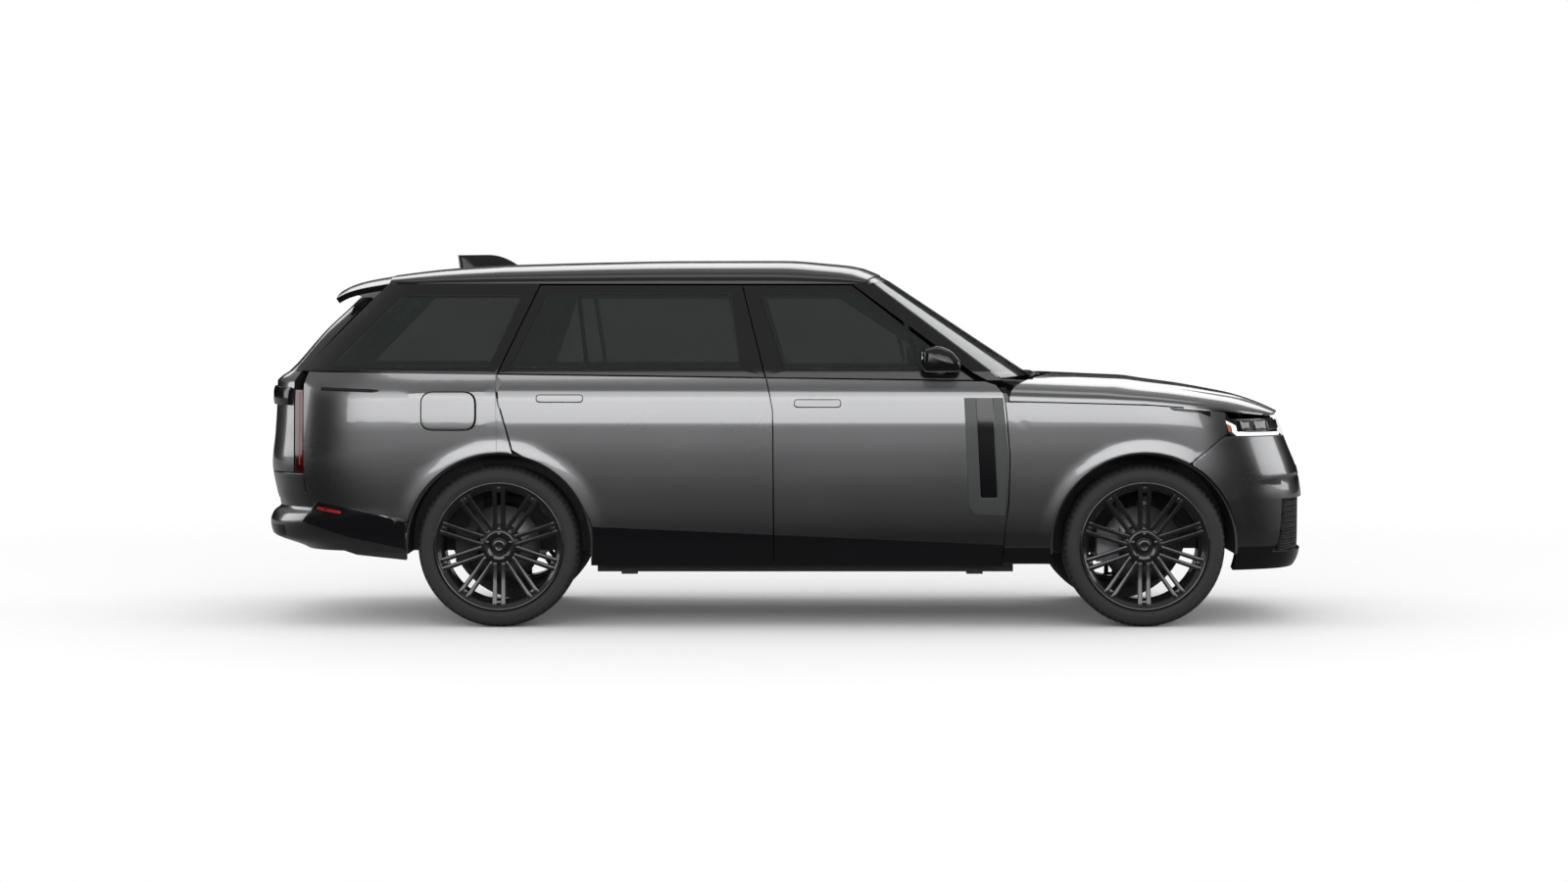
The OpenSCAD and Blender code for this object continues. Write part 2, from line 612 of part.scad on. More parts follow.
// Headlamps fill the corners between bonnet, grille and bumper
lamp_rows = [.5177, .535, .55, .566];
lamp_columns = 6;
lamp_inner = .612;
function lamp_grid(t) = [for (k = lamp_rows) let (z = level(k),
    a0 = nose_width_angle(lamp_inner * half_width, z),
    a1 = nose_angle(max(cut_x(fender_end_shares, z), bonnet_corner_x) + shut_gap, z))
    [for (j = [0 : lamp_columns]) nose_point(blend(a0, a1, j / lamp_columns), z, t)]];
bonnet_corner_x = bonnet_nose(1) - front_overhang * .21;
module headlamps() {
    color("black") {
        on_side(true) plate(lamp_grid(0), lamp_grid(lamp_depth));
        on_side(false) plate(lamp_grid(0), lamp_grid(lamp_depth));
    }
}

// Tail pieces wrap round the back from left to right
tail_columns = 20;
function tail_row(z, a, n, t) = [for (j = [0 : n]) tail_point(a - 2 * a * j / n, z, t)];
rear_bumper_rows = [.205, .225, .2456, .28, .295, .315, .336];
function rear_end_x(z) = min(rear_axle_x - arch_reach(z) + arch_spare,
    cut_x(quarter_end_shares, z) - 2 * shut_gap);
function rear_bumper_grid(t) = [for (k = rear_bumper_rows) let (z = level(k))
    tail_row(z, tail_angle(rear_end_x(z), z), tail_columns, t)];
module rear_bumper() {
    color("dimgray") difference() {
        plate(rear_bumper_grid(0), rear_bumper_grid(bumper_depth));
        for (left = [true, false]) on_side(left) arch_hole(rear_axle_x, arch_radius);
    }
    color("dimgray") for (left = [true, false]) on_side(left) plate(corner_grid(0),
        corner_grid(panel_depth));
}
// Fixed corners on the bumper, beside the lower tailgate
corner_rows = [.325, .345, .37, .395, .4145];
corner_columns = 8;
function corner_grid(t) = [for (k = corner_rows) let (z = level(k),
    a0 = tail_angle(cut_x(gate_edge_shares, z), z), a1 = tail_width_angle(drop_half * half_width
        + shut_gap, z))
    [for (j = [0 : corner_columns]) tail_point(blend(a0, a1, j / corner_columns), z, t)]];

gate_rows = [.424, .47, .52, .57, .62, .668, .693, .75, .807, .86, .897];
gate_line = .418;
gate_edge_shares = [[.34, -.855], [.668, -.855], [.693, -.83], [.897, -.545]];
function gate_grid(t) = [for (k = gate_rows) let (z = level(k))
    tail_row(z, tail_angle(cut_x(gate_edge_shares, z), z), tail_columns, t)];
rear_window = [[.55, .71], [.55, .8], [.5, .88]];
module tailgate_upper() {
    color("dimgray") {
        difference() {
            plate(gate_grid(0), gate_grid(panel_depth));
            tail_prism();
        }
        spoiler();
        gate_header();
        plate(gate_bar_grid(-bar_stand), gate_bar_grid(panel_depth / 2));
    }
}
module tail_prism() {
    translate([tail_x(level(.668)) - over, 0, 0]) rotate([90, 0, 90]) linear_extrude(height = rear_overhang)
        polygon([for (s = [1, -1]) for (p = s > 0 ? rear_window : turned_list(rear_window))
            [s * p[0] * half_width, level(p[1])]]);
}
// Black bar across the tailgate below the window
gate_bar_rows = [.602, .612, .642, .652];
gate_bar_half = .82;
function gate_bar_grid(t) = [for (k = gate_bar_rows) let (z = level(k))
    tail_row(z, tail_width_angle(gate_bar_half * half_width, z), tail_columns, t)];
spoiler_rows = [-.703, -.65, -.58, -.51, -.472];
spoiler_columns = 12;
spoiler_top_shares = [[-.703, .918], [-.69, .923], [-.65, .935], [-.58, .947], [-.51, .955], [-.472,
    .9592]];
spoiler_half_shares = [[-.703, .6], [-.6, .655], [-.472, .69]];
function spoiler_point(s, j, t) = let (v = 1 - 2 * j / spoiler_columns, f = (s - spoiler_rows[0])
    / (spoiler_rows[len(spoiler_rows) - 1] - spoiler_rows[0]))
    [station_x(s), v * half_width * lookup(s, spoiler_half_shares),
    level(lookup(s, spoiler_top_shares)) - spoiler_fall * pow(abs(v), 3) - t * blend(spoiler_tip,
        spoiler_root, f)];
function spoiler_grid(t) = [for (s = spoiler_rows) [for (j = [0 : spoiler_columns]) spoiler_point(s, j,
    t)]];
module spoiler() { plate(spoiler_grid(0), spoiler_grid(1)); }
header_half = .5;
header_shares = [[-.6, .885], [-.6, .93], [-.53, .93], [-.53, .885]];
module gate_header() {
    translate([0, header_half * half_width, 0]) rotate([90, 0,
        0]) linear_extrude(height = 2 * header_half * half_width)
        polygon([for (p = header_shares) [station_x(p[0]), level(p[1])]]);
}
// The rear pane follows the tailgate inside its opening
function rear_pane_half(z) = half_width * lookup(z / roof_height, [for (p = rear_window) [p[1],
    p[0]]]) - 2 * glass_gap;
function rear_pane_grid(t) = [for (i = [0 : pane_rows])
    let (z = blend(level(rear_window[0][1]) + glass_gap, level(rear_window[2][1]) - glass_gap,
        i / pane_rows))
    tail_row(z, tail_width_angle(rear_pane_half(z), z), grille_columns, t)];
module tailgate_glass() {
    color("darkslategray") plate(rear_pane_grid(glass_inset), rear_pane_grid(glass_inset + glass_depth));
}
lower_rows = [.345, .37, .395, .4125];
// The lower tailgate closes the opening between two fixed corners
drop_half = .6;
function lower_grid(t) = [for (k = lower_rows) let (z = level(k))
    tail_row(z, tail_width_angle(drop_half * half_width, z), tail_columns, t)];
module tailgate_lower() { color("dimgray") plate(lower_grid(0), lower_grid(drop_depth)); }

// Tail lamps stand between the tailgate and the quarters
tail_lamp_rows = [.43, .5, .57, .645];
lamp_outer_s = -.81;
lamp_inner_s = -.85;
function tail_lamp_grid(t) = [for (k = tail_lamp_rows) let (z = level(k),
    a0 = tail_angle(station_x(lamp_outer_s) - 4 * seat_gap, z), a1 = tail_angle(station_x(lamp_inner_s), z))
    [for (j = [0 : 2]) tail_point(blend(a0, a1, j / 2), z, t)]];
module tail_lamps() {
    color("darkred") {
        on_side(true) plate(tail_lamp_grid(0), tail_lamp_grid(panel_depth));
        on_side(false) plate(tail_lamp_grid(0), tail_lamp_grid(panel_depth));
    }
}

// Floor with bulkhead, kick-up, load floor and jacking pads
floor_half = min(cabin_half, section(level(side_rows[0])) - frame_inset - frame_wall) - seat_gap;
floor_front_x = station_x(.8);
floor_back_x = station_x(.15);
load_back_x = rear_axle_x - .9195 * rear_overhang;
// The load floor ends ahead of the rear bumper, and a lip on it reaches over to the lower tailgate
load_front_x = rear_axle_x - .8765 * rear_overhang;
load_lip_half = .57;
load_half = .62;
pad_stations = [.2, .74];
module floor_pan() {
    color("black") {
        slab(floor_back_x, floor_front_x, floor_half, floor_bottom, floor_bottom + floor_depth);
        slab(floor_front_x - floor_depth, floor_front_x, floor_half, floor_bottom,
            cowl_top - cowl_depth - seat_gap);
        slab(floor_back_x, floor_back_x + floor_depth, floor_half, floor_bottom, load_floor);
        slab(load_front_x, floor_back_x + floor_depth, load_half * half_width, load_floor - floor_depth,
            load_floor);
        slab(load_front_x, load_front_x + floor_depth, load_half * half_width, level(.3), load_floor);
        slab(load_back_x, load_front_x + floor_depth, load_lip_half * half_width, level(.34), load_floor);
        for (s = pad_stations) for (side = [-1, 1])
            translate([station_x(s) - pad_size / 2, side * pad_half - pad_size / 2,
                floor_bottom - pad_height])
                cube([pad_size, pad_size, pad_height + floor_depth / 2]);
    }
}
module slab(x0, x1, half, z0, z1) {
    translate([x0, -half, z0]) cube([x1 - x0, 2 * half, z1 - z0]);
}

// Powertrain block and the two axles with their arms
engine_front_x = station_x(1.28);
engine_back_x = floor_front_x + seat_gap;
engine_bottom = beam_top + seat_gap;
module powertrain() {
    color("gray") {
        slab(engine_back_x, engine_front_x, engine_half, engine_bottom, engine_top);
    }
}
arm_reach = half_track - tyre_width / 2 - knuckle_in;
module axle_arms(x, reach) {
    for (side = [-1, 1]) on_side(side > 0) {
        arm_bar(x, subframe_y - over, reach, tyre_radius - arm_drop);
        arm_bar(x, subframe_y - over, reach, tyre_radius + arm_lift);
    }
}
module arm_bar(x, y0, y1, z) {
    translate([x - arm_width / 2, y0, z - arm_width / 4]) cube([arm_width, y1 - y0, arm_width / 2]);
}
module subframe(x, top) {
    slab(x - subframe_half, x + subframe_half, subframe_y, beam_bottom, beam_top);
    for (side = [-1, 1]) translate([x - arm_width, side * (subframe_y - arm_width / 2) - arm_width / 2,
        beam_bottom])
        cube([2 * arm_width, arm_width, top - beam_bottom]);
}
// Kingpin over the brake disc, held in the end of the upper arm
kingpin_low = disc_radius + pad_gap;
kingpin_high = kingpin_low + kingpin_arm + pad_gap;
module front_axle() {
    color("dimgray") {
        subframe(front_axle_x, tyre_radius + kingpin_high + kingpin_arm);
        for (left = [true, false]) on_side(left) {
            arm_bar(front_axle_x, subframe_y - over, arm_reach - over, tyre_radius - arm_drop);
            difference() {
                translate([front_axle_x - kingpin_arm, subframe_y - over, tyre_radius + kingpin_high])
                    cube([2 * kingpin_arm, half_track - subframe_y + over + kingpin_arm, kingpin_arm]);
                translate([front_axle_x, half_track, tyre_radius + kingpin_low])
                    cylinder(r = kingpin_radius + seat_gap, h = 4 * kingpin_arm);
            }
        }
    }
}
// Upright, stub axle and brake caliper of a left-hand wheel, about its own centre
module upright() {
    translate([-upright_width / 2, -tyre_width / 2, -upright_half])
        cube([upright_width, upright_depth, 2 * upright_half]);
    rotate([-90, 0, 0]) translate([0, 0, -tyre_width / 2]) cylinder(r = stub_radius, h = tyre_width / 2
        + stub_reach / 3);
    caliper();
}
disc_y = -60;
module caliper() {
    y0 = disc_y - disc_depth / 2 - pad_gap - caliper_wall;
    depth = disc_depth + 2 * pad_gap + 2 * caliper_wall;
    difference() {
        translate([-disc_radius - caliper_width / 2, y0, -caliper_high / 2])
            cube([caliper_span, depth, caliper_high]);
        translate([0, disc_y - disc_depth / 2 - pad_gap, 0]) rotate([-90, 0, 0])
            cylinder(r = disc_radius + pad_gap, h = disc_depth + 2 * pad_gap);
    }
    translate([-disc_radius, -tyre_width / 2, -arm_width]) cube([disc_radius, upright_depth,
        2 * arm_width]);
    translate([-disc_radius - caliper_width / 2, -tyre_width / 2, -arm_width])
        cube([caliper_span - caliper_width / 2, y0 + tyre_width / 2 + caliper_wall / 2, 2 * arm_width]);
}
module knuckle() {
    upright();
    translate([-kingpin_arm, -tyre_width / 2, kingpin_low])
        cube([2 * kingpin_arm, tyre_width / 2 + kingpin_arm, kingpin_arm]);
    translate([-kingpin_arm, -tyre_width / 2, 0]) cube([2 * kingpin_arm, upright_depth,
        kingpin_high - pad_gap]);
    translate([0, 0, kingpin_low]) cylinder(r = kingpin_radius, h = 2 * kingpin_arm + pad_gap);
}
module knuckle_left() { color("gray") translate([front_axle_x, half_track, tyre_radius]) knuckle(); }
module knuckle_right() {
    color("gray") translate([front_axle_x, -half_track, tyre_radius]) mirror([0, 1, 0]) knuckle();
}
module rear_axle() {
    color("dimgray") {
        subframe(rear_axle_x, load_floor - floor_depth - seat_gap);
        axle_arms(rear_axle_x, arm_reach + knuckle_in + over);
        for (left = [true, false]) on_side(left) translate([rear_axle_x, half_track,
            tyre_radius]) upright();
    }
}

// Wheels with brake discs, and tyres, about their own centres with the outer side towards +Y
module wheel_face() {
    linear_extrude(height = face_depth) difference() {
        circle(r = bead_radius - rim_wall / 2);
        for (k = [0 : spoke_pairs - 1]) rotate(k * 360 / spoke_pairs) {
            spoke_gap();
            rotate(180 / spoke_pairs) translate([slot_inner, -slot_width / 2])
                square([slot_outer - slot_inner, slot_width]);
        }
    }
}
function gap_angle(r) = 180 / spoke_pairs - asin(pair_width / 2 / r);
module spoke_gap() {
    polygon([for (p = [[gap_inner, -1], [gap_outer, -1], [gap_outer, -.5], [gap_outer, 0], [gap_outer, .5],
        [gap_outer, 1], [gap_inner, 1]]) p[0] * [cos(p[1] * gap_angle(p[0])),
            sin(p[1] * gap_angle(p[0]))]]);
}
module wheel() {
    face_y = tyre_width / 2 - face_inset;
    rotate([-90, 0, 0]) {
        rotate_extrude() polygon([[bead_radius - rim_wall, -tyre_width / 2 + face_inset],
            [bead_radius - seat_gap, -tyre_width / 2 + face_inset], [bead_radius - seat_gap, face_y],
            [bead_radius - rim_wall, face_y]]);
        rotate([0, 0, 90 + 180 / spoke_pairs]) translate([0, 0, face_y - face_depth]) wheel_face();
        rotate_extrude() polygon([[stub_radius + stub_gap, disc_y - disc_depth / 2], [disc_radius,
            disc_y - disc_depth / 2],
            [disc_radius, disc_y + disc_depth / 2], [hub_radius, disc_y + disc_depth / 2],
            [hub_radius, face_y - face_depth / 2], [stub_radius + stub_gap, face_y - face_depth / 2]]);
        translate([0, 0, face_y - face_depth / 2]) cylinder(r = cap_radius, h = face_depth / 2 + seat_gap);
    }
}
tyre_shares = [[0, .82], [.18, .93], [.5, 1], [.8, .97], [.93, .86], [1, .66], [1, -.66], [.93, -.86],
    [.8, -.97],
    [.5, -1], [.18, -.93], [0, -.82]];
module tyre() {
    rotate([-90, 0, 0]) rotate_extrude() polygon([for (p = tyre_shares)
        [blend(bead_radius, tyre_radius, p[0]), p[1] * tyre_width / 2]]);
}
module at_wheel(x, left) {
    translate([x, left ? half_track : -half_track, tyre_radius]) rotate(left ? 0 : 180) children();
}
module wheel_front_left() { color("black") at_wheel(front_axle_x, true) wheel(); }
module wheel_front_right() { color("black") at_wheel(front_axle_x, false) wheel(); }
module wheel_rear_left() { color("black") at_wheel(rear_axle_x, true) wheel(); }
module wheel_rear_right() { color("black") at_wheel(rear_axle_x, false) wheel(); }
module tyre_front_left() { color("black") at_wheel(front_axle_x, true) tyre(); }
module tyre_front_right() { color("black") at_wheel(front_axle_x, false) tyre(); }
module tyre_rear_left() { color("black") at_wheel(rear_axle_x, true) tyre(); }
module tyre_rear_right() { color("black") at_wheel(rear_axle_x, false) tyre(); }

// Liners close each wheel housing above the wheel
liner_inner = half_track - tyre_width / 2 - steer_room;
rear_liner_inner = half_track - tyre_width / 2 - wheel_room;
module liner(x, inner, outer) {
    difference() {
        translate([x, outer, tyre_radius]) rotate([90, 0, 0]) cylinder(r = arch_radius - seat_gap,
            h = outer - inner);
        translate([x, outer + over, tyre_radius]) rotate([90, 0, 0])
            cylinder(r = arch_radius - seat_gap - liner_wall, h = outer - inner + over - liner_wall);
        translate([x - arch_radius - over, inner - over, -arch_radius])
            cube([2 * arch_radius + 2 * over, outer - inner + 2 * over, tyre_radius - liner_foot
                + arch_radius]);
        translate([x - 2 * arm_width, inner - over, tyre_radius - arm_drop])
            cube([4 * arm_width, 2 * over + liner_wall, arm_drop + kingpin_high + arm_width]);
    }
}
module arch_liners() {
    color("black") for (left = [true, false]) on_side(left) {
        liner(front_axle_x, liner_inner, half_width - liner_reach);
        liner(rear_axle_x, rear_liner_inner, half_width - liner_reach);
    }
}

// Seats, dashboard and steering wheel
seat_shares = [[.6, .1], [.6, .27], [.58, .325], [.425, .305], [.335, .61], [.355, .63], [.33, .69],
    [.305, .685],
    [.318, .615], [.295, .6], [.385, .27], [.385, .1]];
bench_shares = [[.3, .1], [.3, .285], [.285, .345], [.15, .362], [.063, .615], [.08, .64], [.056, .695],
    [.034, .69],
    [.044, .62], [.018, .6], [.09, .3525], [.168, .3525], [.168, .1]];
module seat_body(shares, width) {
    translate([0, width / 2, 0]) rotate([90, 0, 0]) linear_extrude(height = width)
        polygon([for (p = shares) [station_x(p[0]), max(level(p[1]), floor_bottom + floor_depth)
            + seat_gap]]);
}
module front_seats() {
    color("black") for (side = [-1, 1]) translate([0, side * seat_half, 0]) seat_body(seat_shares,
        seat_width);
}
module rear_bench() { color("black") seat_body(bench_shares, bench_width); }
dash_shares = [[.7873, .45], [.7873, .62], [.74, .63], [.69, .605], [.68, .55], [.72, .43]];
dash_half = .72;
module dashboard() {
    color("black") translate([0, dash_half * half_width, 0]) rotate([90, 0, 0])
        linear_extrude(height = 2 * dash_half * half_width)
        polygon([for (p = dash_shares) [station_x(p[0]), level(p[1])]]);
}
steer_s = .645;
steer_z = .55;
module steering_wheel() {
    color("black") translate([station_x(steer_s), seat_half, level(steer_z)]) rotate([0, steer_tilt, 0]) {
        rotate_extrude() translate([steer_radius - steer_rim, 0]) circle(r = steer_rim);
        translate([-spoke_width / 2, -steer_radius + steer_rim, -steer_rim / 2])
            cube([spoke_width, 2 * (steer_radius - steer_rim), steer_rim]);
        translate([0, -spoke_width / 2, -steer_rim / 2]) cube([steer_radius - steer_rim, spoke_width,
            steer_rim]);
        cylinder(r = column_radius, h = column_length);
    }
}

// Mirror heads stand off the front doors at the belt
mirror_shares = [[.66, .699], [.652, .72], [.657, .757], [.678, .766], [.7, .752], [.716, .715], [.713,
    .699]];
mirror_foot_shares = [[.672, .686], [.672, .7], [.7, .7], [.7, .686]];
mirror_y = .99 * half_width;
foot_y = section(level(mirror_foot_shares[0][1])) + seat_gap;
module mirror_body() {
    side_prism(mirror_shares, mirror_y, mirror_y + mirror_width);
    side_prism(mirror_foot_shares, foot_y, mirror_y + mirror_width / 2);
}
module mirror_left() { color("black") on_side(true) mirror_body(); }
module mirror_right() { color("black") on_side(false) mirror_body(); }

floor_pan();
body_side_left();
body_side_right();
roof_panel();
roof_fin();
fender_left();
fender_right();
front_bumper();
grille();
headlamps();
rear_bumper();
tail_lamps();
windscreen();
quarter_glass();
cowl();
powertrain();
front_axle();
rear_axle();
arch_liners();
front_seats();
rear_bench();
dashboard();
steering_wheel();
door_front_left();
door_front_right();
door_rear_left();
door_rear_right();
glass_front_left();
glass_front_right();
glass_rear_left();
glass_rear_right();
mirror_left();
mirror_right();
bonnet();
tailgate_upper();
tailgate_glass();
tailgate_lower();
fuel_flap();
knuckle_left();
knuckle_right();
wheel_front_left();
wheel_front_right();
wheel_rear_left();
wheel_rear_right();
tyre_front_left();
tyre_front_right();
tyre_rear_left();
tyre_rear_right();
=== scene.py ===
import math

import bmesh
import bpy
from mathutils import Matrix, Vector


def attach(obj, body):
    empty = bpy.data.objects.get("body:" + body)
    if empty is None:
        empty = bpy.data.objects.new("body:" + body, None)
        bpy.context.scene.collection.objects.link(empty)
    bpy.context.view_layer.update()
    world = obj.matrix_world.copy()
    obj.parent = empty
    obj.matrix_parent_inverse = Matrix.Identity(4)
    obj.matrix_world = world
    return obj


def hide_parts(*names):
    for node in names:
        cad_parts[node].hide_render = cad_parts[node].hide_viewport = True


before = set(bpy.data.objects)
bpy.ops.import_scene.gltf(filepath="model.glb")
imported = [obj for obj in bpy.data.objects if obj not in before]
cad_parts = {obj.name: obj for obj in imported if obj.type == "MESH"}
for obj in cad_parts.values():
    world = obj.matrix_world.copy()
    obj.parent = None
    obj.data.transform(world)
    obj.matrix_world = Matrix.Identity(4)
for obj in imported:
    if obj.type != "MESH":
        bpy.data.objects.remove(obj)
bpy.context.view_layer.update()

# Floor pan: pressed and welded steel sheet with bulkhead, kick-up and load floor in one shell,
# sealed with a dark stone-chip coat. Axles, arms and uprights are forged and cast, bolted to it.


class Sock:
    """A shader socket that can be used in sums, and that adds any other node."""

    def __init__(self, tree, out=None):
        self.tree = tree
        self.out = out

    def node(self, kind, settings=None, sockets=None, out=0):
        made = self.tree.nodes.new("ShaderNode" + kind)
        for key, value in (settings or {}).items():
            setattr(made, key, value)
        for key, value in (sockets or {}).items():
            if isinstance(value, Sock):
                self.tree.links.new(value.out, made.inputs[key])
            else:
                made.inputs[key].default_value = value
        return Sock(self.tree, made.outputs[out])

    def sum(self, operation, other, turned=False):
        pair = {0: other, 1: self} if turned else {0: self, 1: other}
        return self.node("Math", {"operation": operation}, pair)

    def __add__(self, other):
        return self.sum("ADD", other)

    __radd__ = __add__

    def __mul__(self, other):
        return self.sum("MULTIPLY", other)

    __rmul__ = __mul__

    def __sub__(self, other):
        return self.sum("SUBTRACT", other)

    def __rsub__(self, other):
        return self.sum("SUBTRACT", other, True)


def finish(name, dark, light, rough, scale, bump=0.0, cells=False, **fixed):
    """A material whose colour, roughness and relief follow one fine pattern on the piece."""
    material = bpy.data.materials.new(name)
    material.use_nodes = True
    tree = material.node_tree
    shader = tree.nodes["Principled BSDF"]
    for key, value in fixed.items():
        shader.inputs[key.replace("_", " ").title().replace("Ior", "IOR")].default_value = value
    start = Sock(tree)
    place = start.node("TexCoord", out=3)
    kind = "TexVoronoi" if cells else "TexNoise"
    grain = start.node(kind, {}, {"Vector": place, "Scale": scale})
    cloud = start.node("TexNoise", {}, {"Vector": place, "Scale": 2.3, "Detail": 3.0})
    shade = start.node("Mix", {"data_type": "RGBA"},
                       {0: grain * 0.7 + cloud * 0.3, 6: (*dark, 1), 7: (*light, 1)}, 2)
    tree.links.new(shade.out, shader.inputs["Base Color"])
    tree.links.new((cloud * (rough[1] - rough[0]) + rough[0]).out, shader.inputs["Roughness"])
    if bump:
        relief = start.node("Bump", {}, {"Strength": 0.5, "Distance": bump, "Height": grain})
        tree.links.new(relief.out, shader.inputs["Normal"])
    return material


def dress(node, material):
    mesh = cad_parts[node].data
    mesh.materials.clear()
    mesh.materials.append(material)


seal = finish("stone chip seal", (0.012, 0.012, 0.012), (0.03, 0.03, 0.03), (0.6, 0.85), 160, 0.002)
cast = finish("cast metal", (0.16, 0.16, 0.17), (0.3, 0.3, 0.31), (0.45, 0.65), 220, 0.001, metallic=1.0)
moulded = finish("moulded black plastic", (0.012, 0.012, 0.013), (0.028, 0.028, 0.03), (0.5, 0.7), 700,
                 0.0006, True)
for name in ("floor_pan", "front_axle", "rear_axle"):
    dress(name, seal)
for name in ("powertrain", "knuckle_left", "knuckle_right"):
    dress(name, cast)
for name in ("arch_liners", "cowl"):
    dress(name, moulded)

# Tyres: black rubber on a steel and cord carcass, moulded with a rounded shoulder, four grooves round
# the tread and cross grooves in the shoulders. Each is pressed over its wheel and turns with it.
tyre_width = 0.280
tyre_radius = 0.400
bead_radius = 0.292
axles = {"front": (1.772, 0.846, 0.4), "rear": (-1.425, 0.846, 0.4)}


def smooth(mesh):
    for face in mesh.polygons:
        face.use_smooth = True


def piece(name, bm, body, materials, replaced=()):
    """Makes the finished mesh an object that rides on its body."""
    mesh = bpy.data.meshes.new(name)
    bm.to_mesh(mesh)
    bm.free()
    smooth(mesh)
    for material in materials:
        mesh.materials.append(material)
    made = bpy.data.objects.new(name, mesh)
    bpy.context.collection.objects.link(made)
    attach(made, body)
    if replaced:
        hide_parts(*replaced)
    return made


def turned_ring(points, steps):
    """Spins a closed outline of radius and offset points about the wheel's axle."""
    bm = bmesh.new()
    ring = [bm.verts.new((radius, offset, 0)) for radius, offset in points]
    edges = [bm.edges.new((ring[i - 1], ring[i])) for i in range(len(ring))]
    bmesh.ops.spin(bm, geom=ring + edges, cent=(0, 0, 0), axis=(0, 1, 0), dvec=(0, 0, 0),
                   angle=2 * math.pi, steps=steps, use_merge=True, use_duplicate=False)
    bmesh.ops.remove_doubles(bm, verts=bm.verts, dist=1e-6)
    bmesh.ops.recalc_face_normals(bm, faces=bm.faces)
    return bm


def at_wheel(bm, axle, side):
    """Moves a wheel piece, made with its outer side towards +Y, to its axle."""
    x, y, z = axles[axle]
    if side == "right":
        bmesh.ops.rotate(bm, verts=bm.verts, cent=(0, 0, 0), matrix=Matrix.Rotation(math.pi, 3, "Z"))
        y = -y
    bmesh.ops.translate(bm, verts=bm.verts, vec=(x, y, z))


rubber = finish("tyre rubber", (0.009, 0.009, 0.009), (0.022, 0.021, 0.02), (0.62, 0.82), 420, 0.0008)
half = tyre_width / 2
tread = []
for middle in (-0.085, -0.029, 0.029, 0.085):
    tread += [(tyre_radius, middle - 0.005), (tyre_radius - 0.007, middle - 0.003),
              (tyre_radius - 0.007, middle + 0.003), (tyre_radius, middle + 0.005)]
wall = [(bead_radius + 0.001, 0.109), (0.3, 0.118), (0.312, 0.128), (0.316, 0.1295), (0.322, 0.1290),
        (0.338, 0.137), (0.346, 0.1385), (0.350, 0.1375), (0.362, half - 0.003), (0.376, 0.1325),
        (0.386, 0.126), (0.393, 0.117), (0.398, 0.107)]
outline = [(r, -y) for r, y in wall] + tread + wall[::-1]
for axle in axles:
    for side in ("left", "right"):
        bm = turned_ring(outline, 144)
        bm.faces.ensure_lookup_table()
        bm.normal_update()
        shoulder = []
        for face in bm.faces:
            centre = face.calc_center_median()
            radius = math.hypot(centre.x, centre.z)
            step = int((math.atan2(centre.z, centre.x) + math.pi) / (2 * math.pi) * 144)
            if radius > 0.3885 and abs(centre.y) > 0.091 and step % 2 == 0:
                shoulder.append(face)
        bmesh.ops.inset_region(bm, faces=shoulder, thickness=0.0035, depth=-0.006, use_even_offset=True)
        at_wheel(bm, axle, side)
        piece("tyre_%s_%s_rubber" % (axle, side), bm, "wheel_%s_%s" % (axle, side), [rubber],
              ["tyre_%s_%s" % (axle, side)])

# Wheels: cast light alloy, machined and finished in gloss black, with ten slim twin spokes that run
# from the hub plate to the lip. Five nuts hold each wheel to its iron brake disc.
spoke_count = 10
gloss_wheel = finish("gloss black alloy", (0.008, 0.008, 0.009), (0.016, 0.016, 0.017), (0.2, 0.3), 900,
                     metallic=0.35, coat_weight=0.6, coat_roughness=0.08)
disc_iron = finish("brake disc iron", (0.3, 0.3, 0.3), (0.5, 0.49, 0.48), (0.3, 0.45), 60, 0.0004,
                   metallic=1.0)
rim = [(0.277, -0.118), (0.2915, -0.118), (0.2915, 0.1085), (0.300, 0.1185), (0.312, 0.130), (0.3225,
    0.1315),
       (0.3225, 0.1345), (0.310, 0.1345), (0.302, 0.1290), (0.294, 0.1200), (0.277, 0.1100)]
hub = [(0.0001, 0.075), (0.083, 0.075), (0.086, 0.098), (0.084, 0.105), (0.070, 0.108), (0.047, 0.104),
       (0.041, 0.099), (0.036, 0.099), (0.035, 0.1165), (0.031, 0.119), (0.0001, 0.1205)]
disc = [(0.052, -0.073), (0.194, -0.073), (0.1948, -0.071), (0.1948, -0.049), (0.194, -0.047), (0.105,
    -0.047),
        (0.1, -0.04), (0.1, 0.074), (0.052, 0.074)]


def spoke_bar(shift):
    """One bar of a twin spoke, crowned and narrower at its foot, standing towards +Z."""
    bm = bmesh.new()
    bmesh.ops.create_cube(bm, size=1)
    bmesh.ops.subdivide_edges(bm,
                              edges=[e for e in bm.edges if abs(e.verts[0].co.z - e.verts[1].co.z) > 0.5],
                              cuts=7, use_grid_fill=True)
    for v in bm.verts:
        t = v.co.z + 0.5
        width = 0.020 + 0.006 * t ** 3 + 0.005 * (1 - t) ** 4
        depth = 0.036 - 0.008 * t
        top = 0.100 + 0.026 * t ** 1.6
        spread = shift * (0.0195 + 0.002 * t)
        v.co = (spread + v.co.x * width, top - (0.5 - v.co.y) * depth, 0.070 + 0.232 * t)
    bmesh.ops.bevel(bm, geom=[e for e in bm.edges if e.calc_face_angle(0) > 0.6], offset=0.0032,
                    offset_type="OFFSET", segments=3, profile=0.5, affect="EDGES", material=-1)
    return bm


def joined(parts):
    """Puts several meshes into one."""
    whole = bmesh.new()
    for part in parts:
        mesh = bpy.data.meshes.new("part")
        part.to_mesh(mesh)
        part.free()
        whole.from_mesh(mesh)
        bpy.data.meshes.remove(mesh)
    return whole


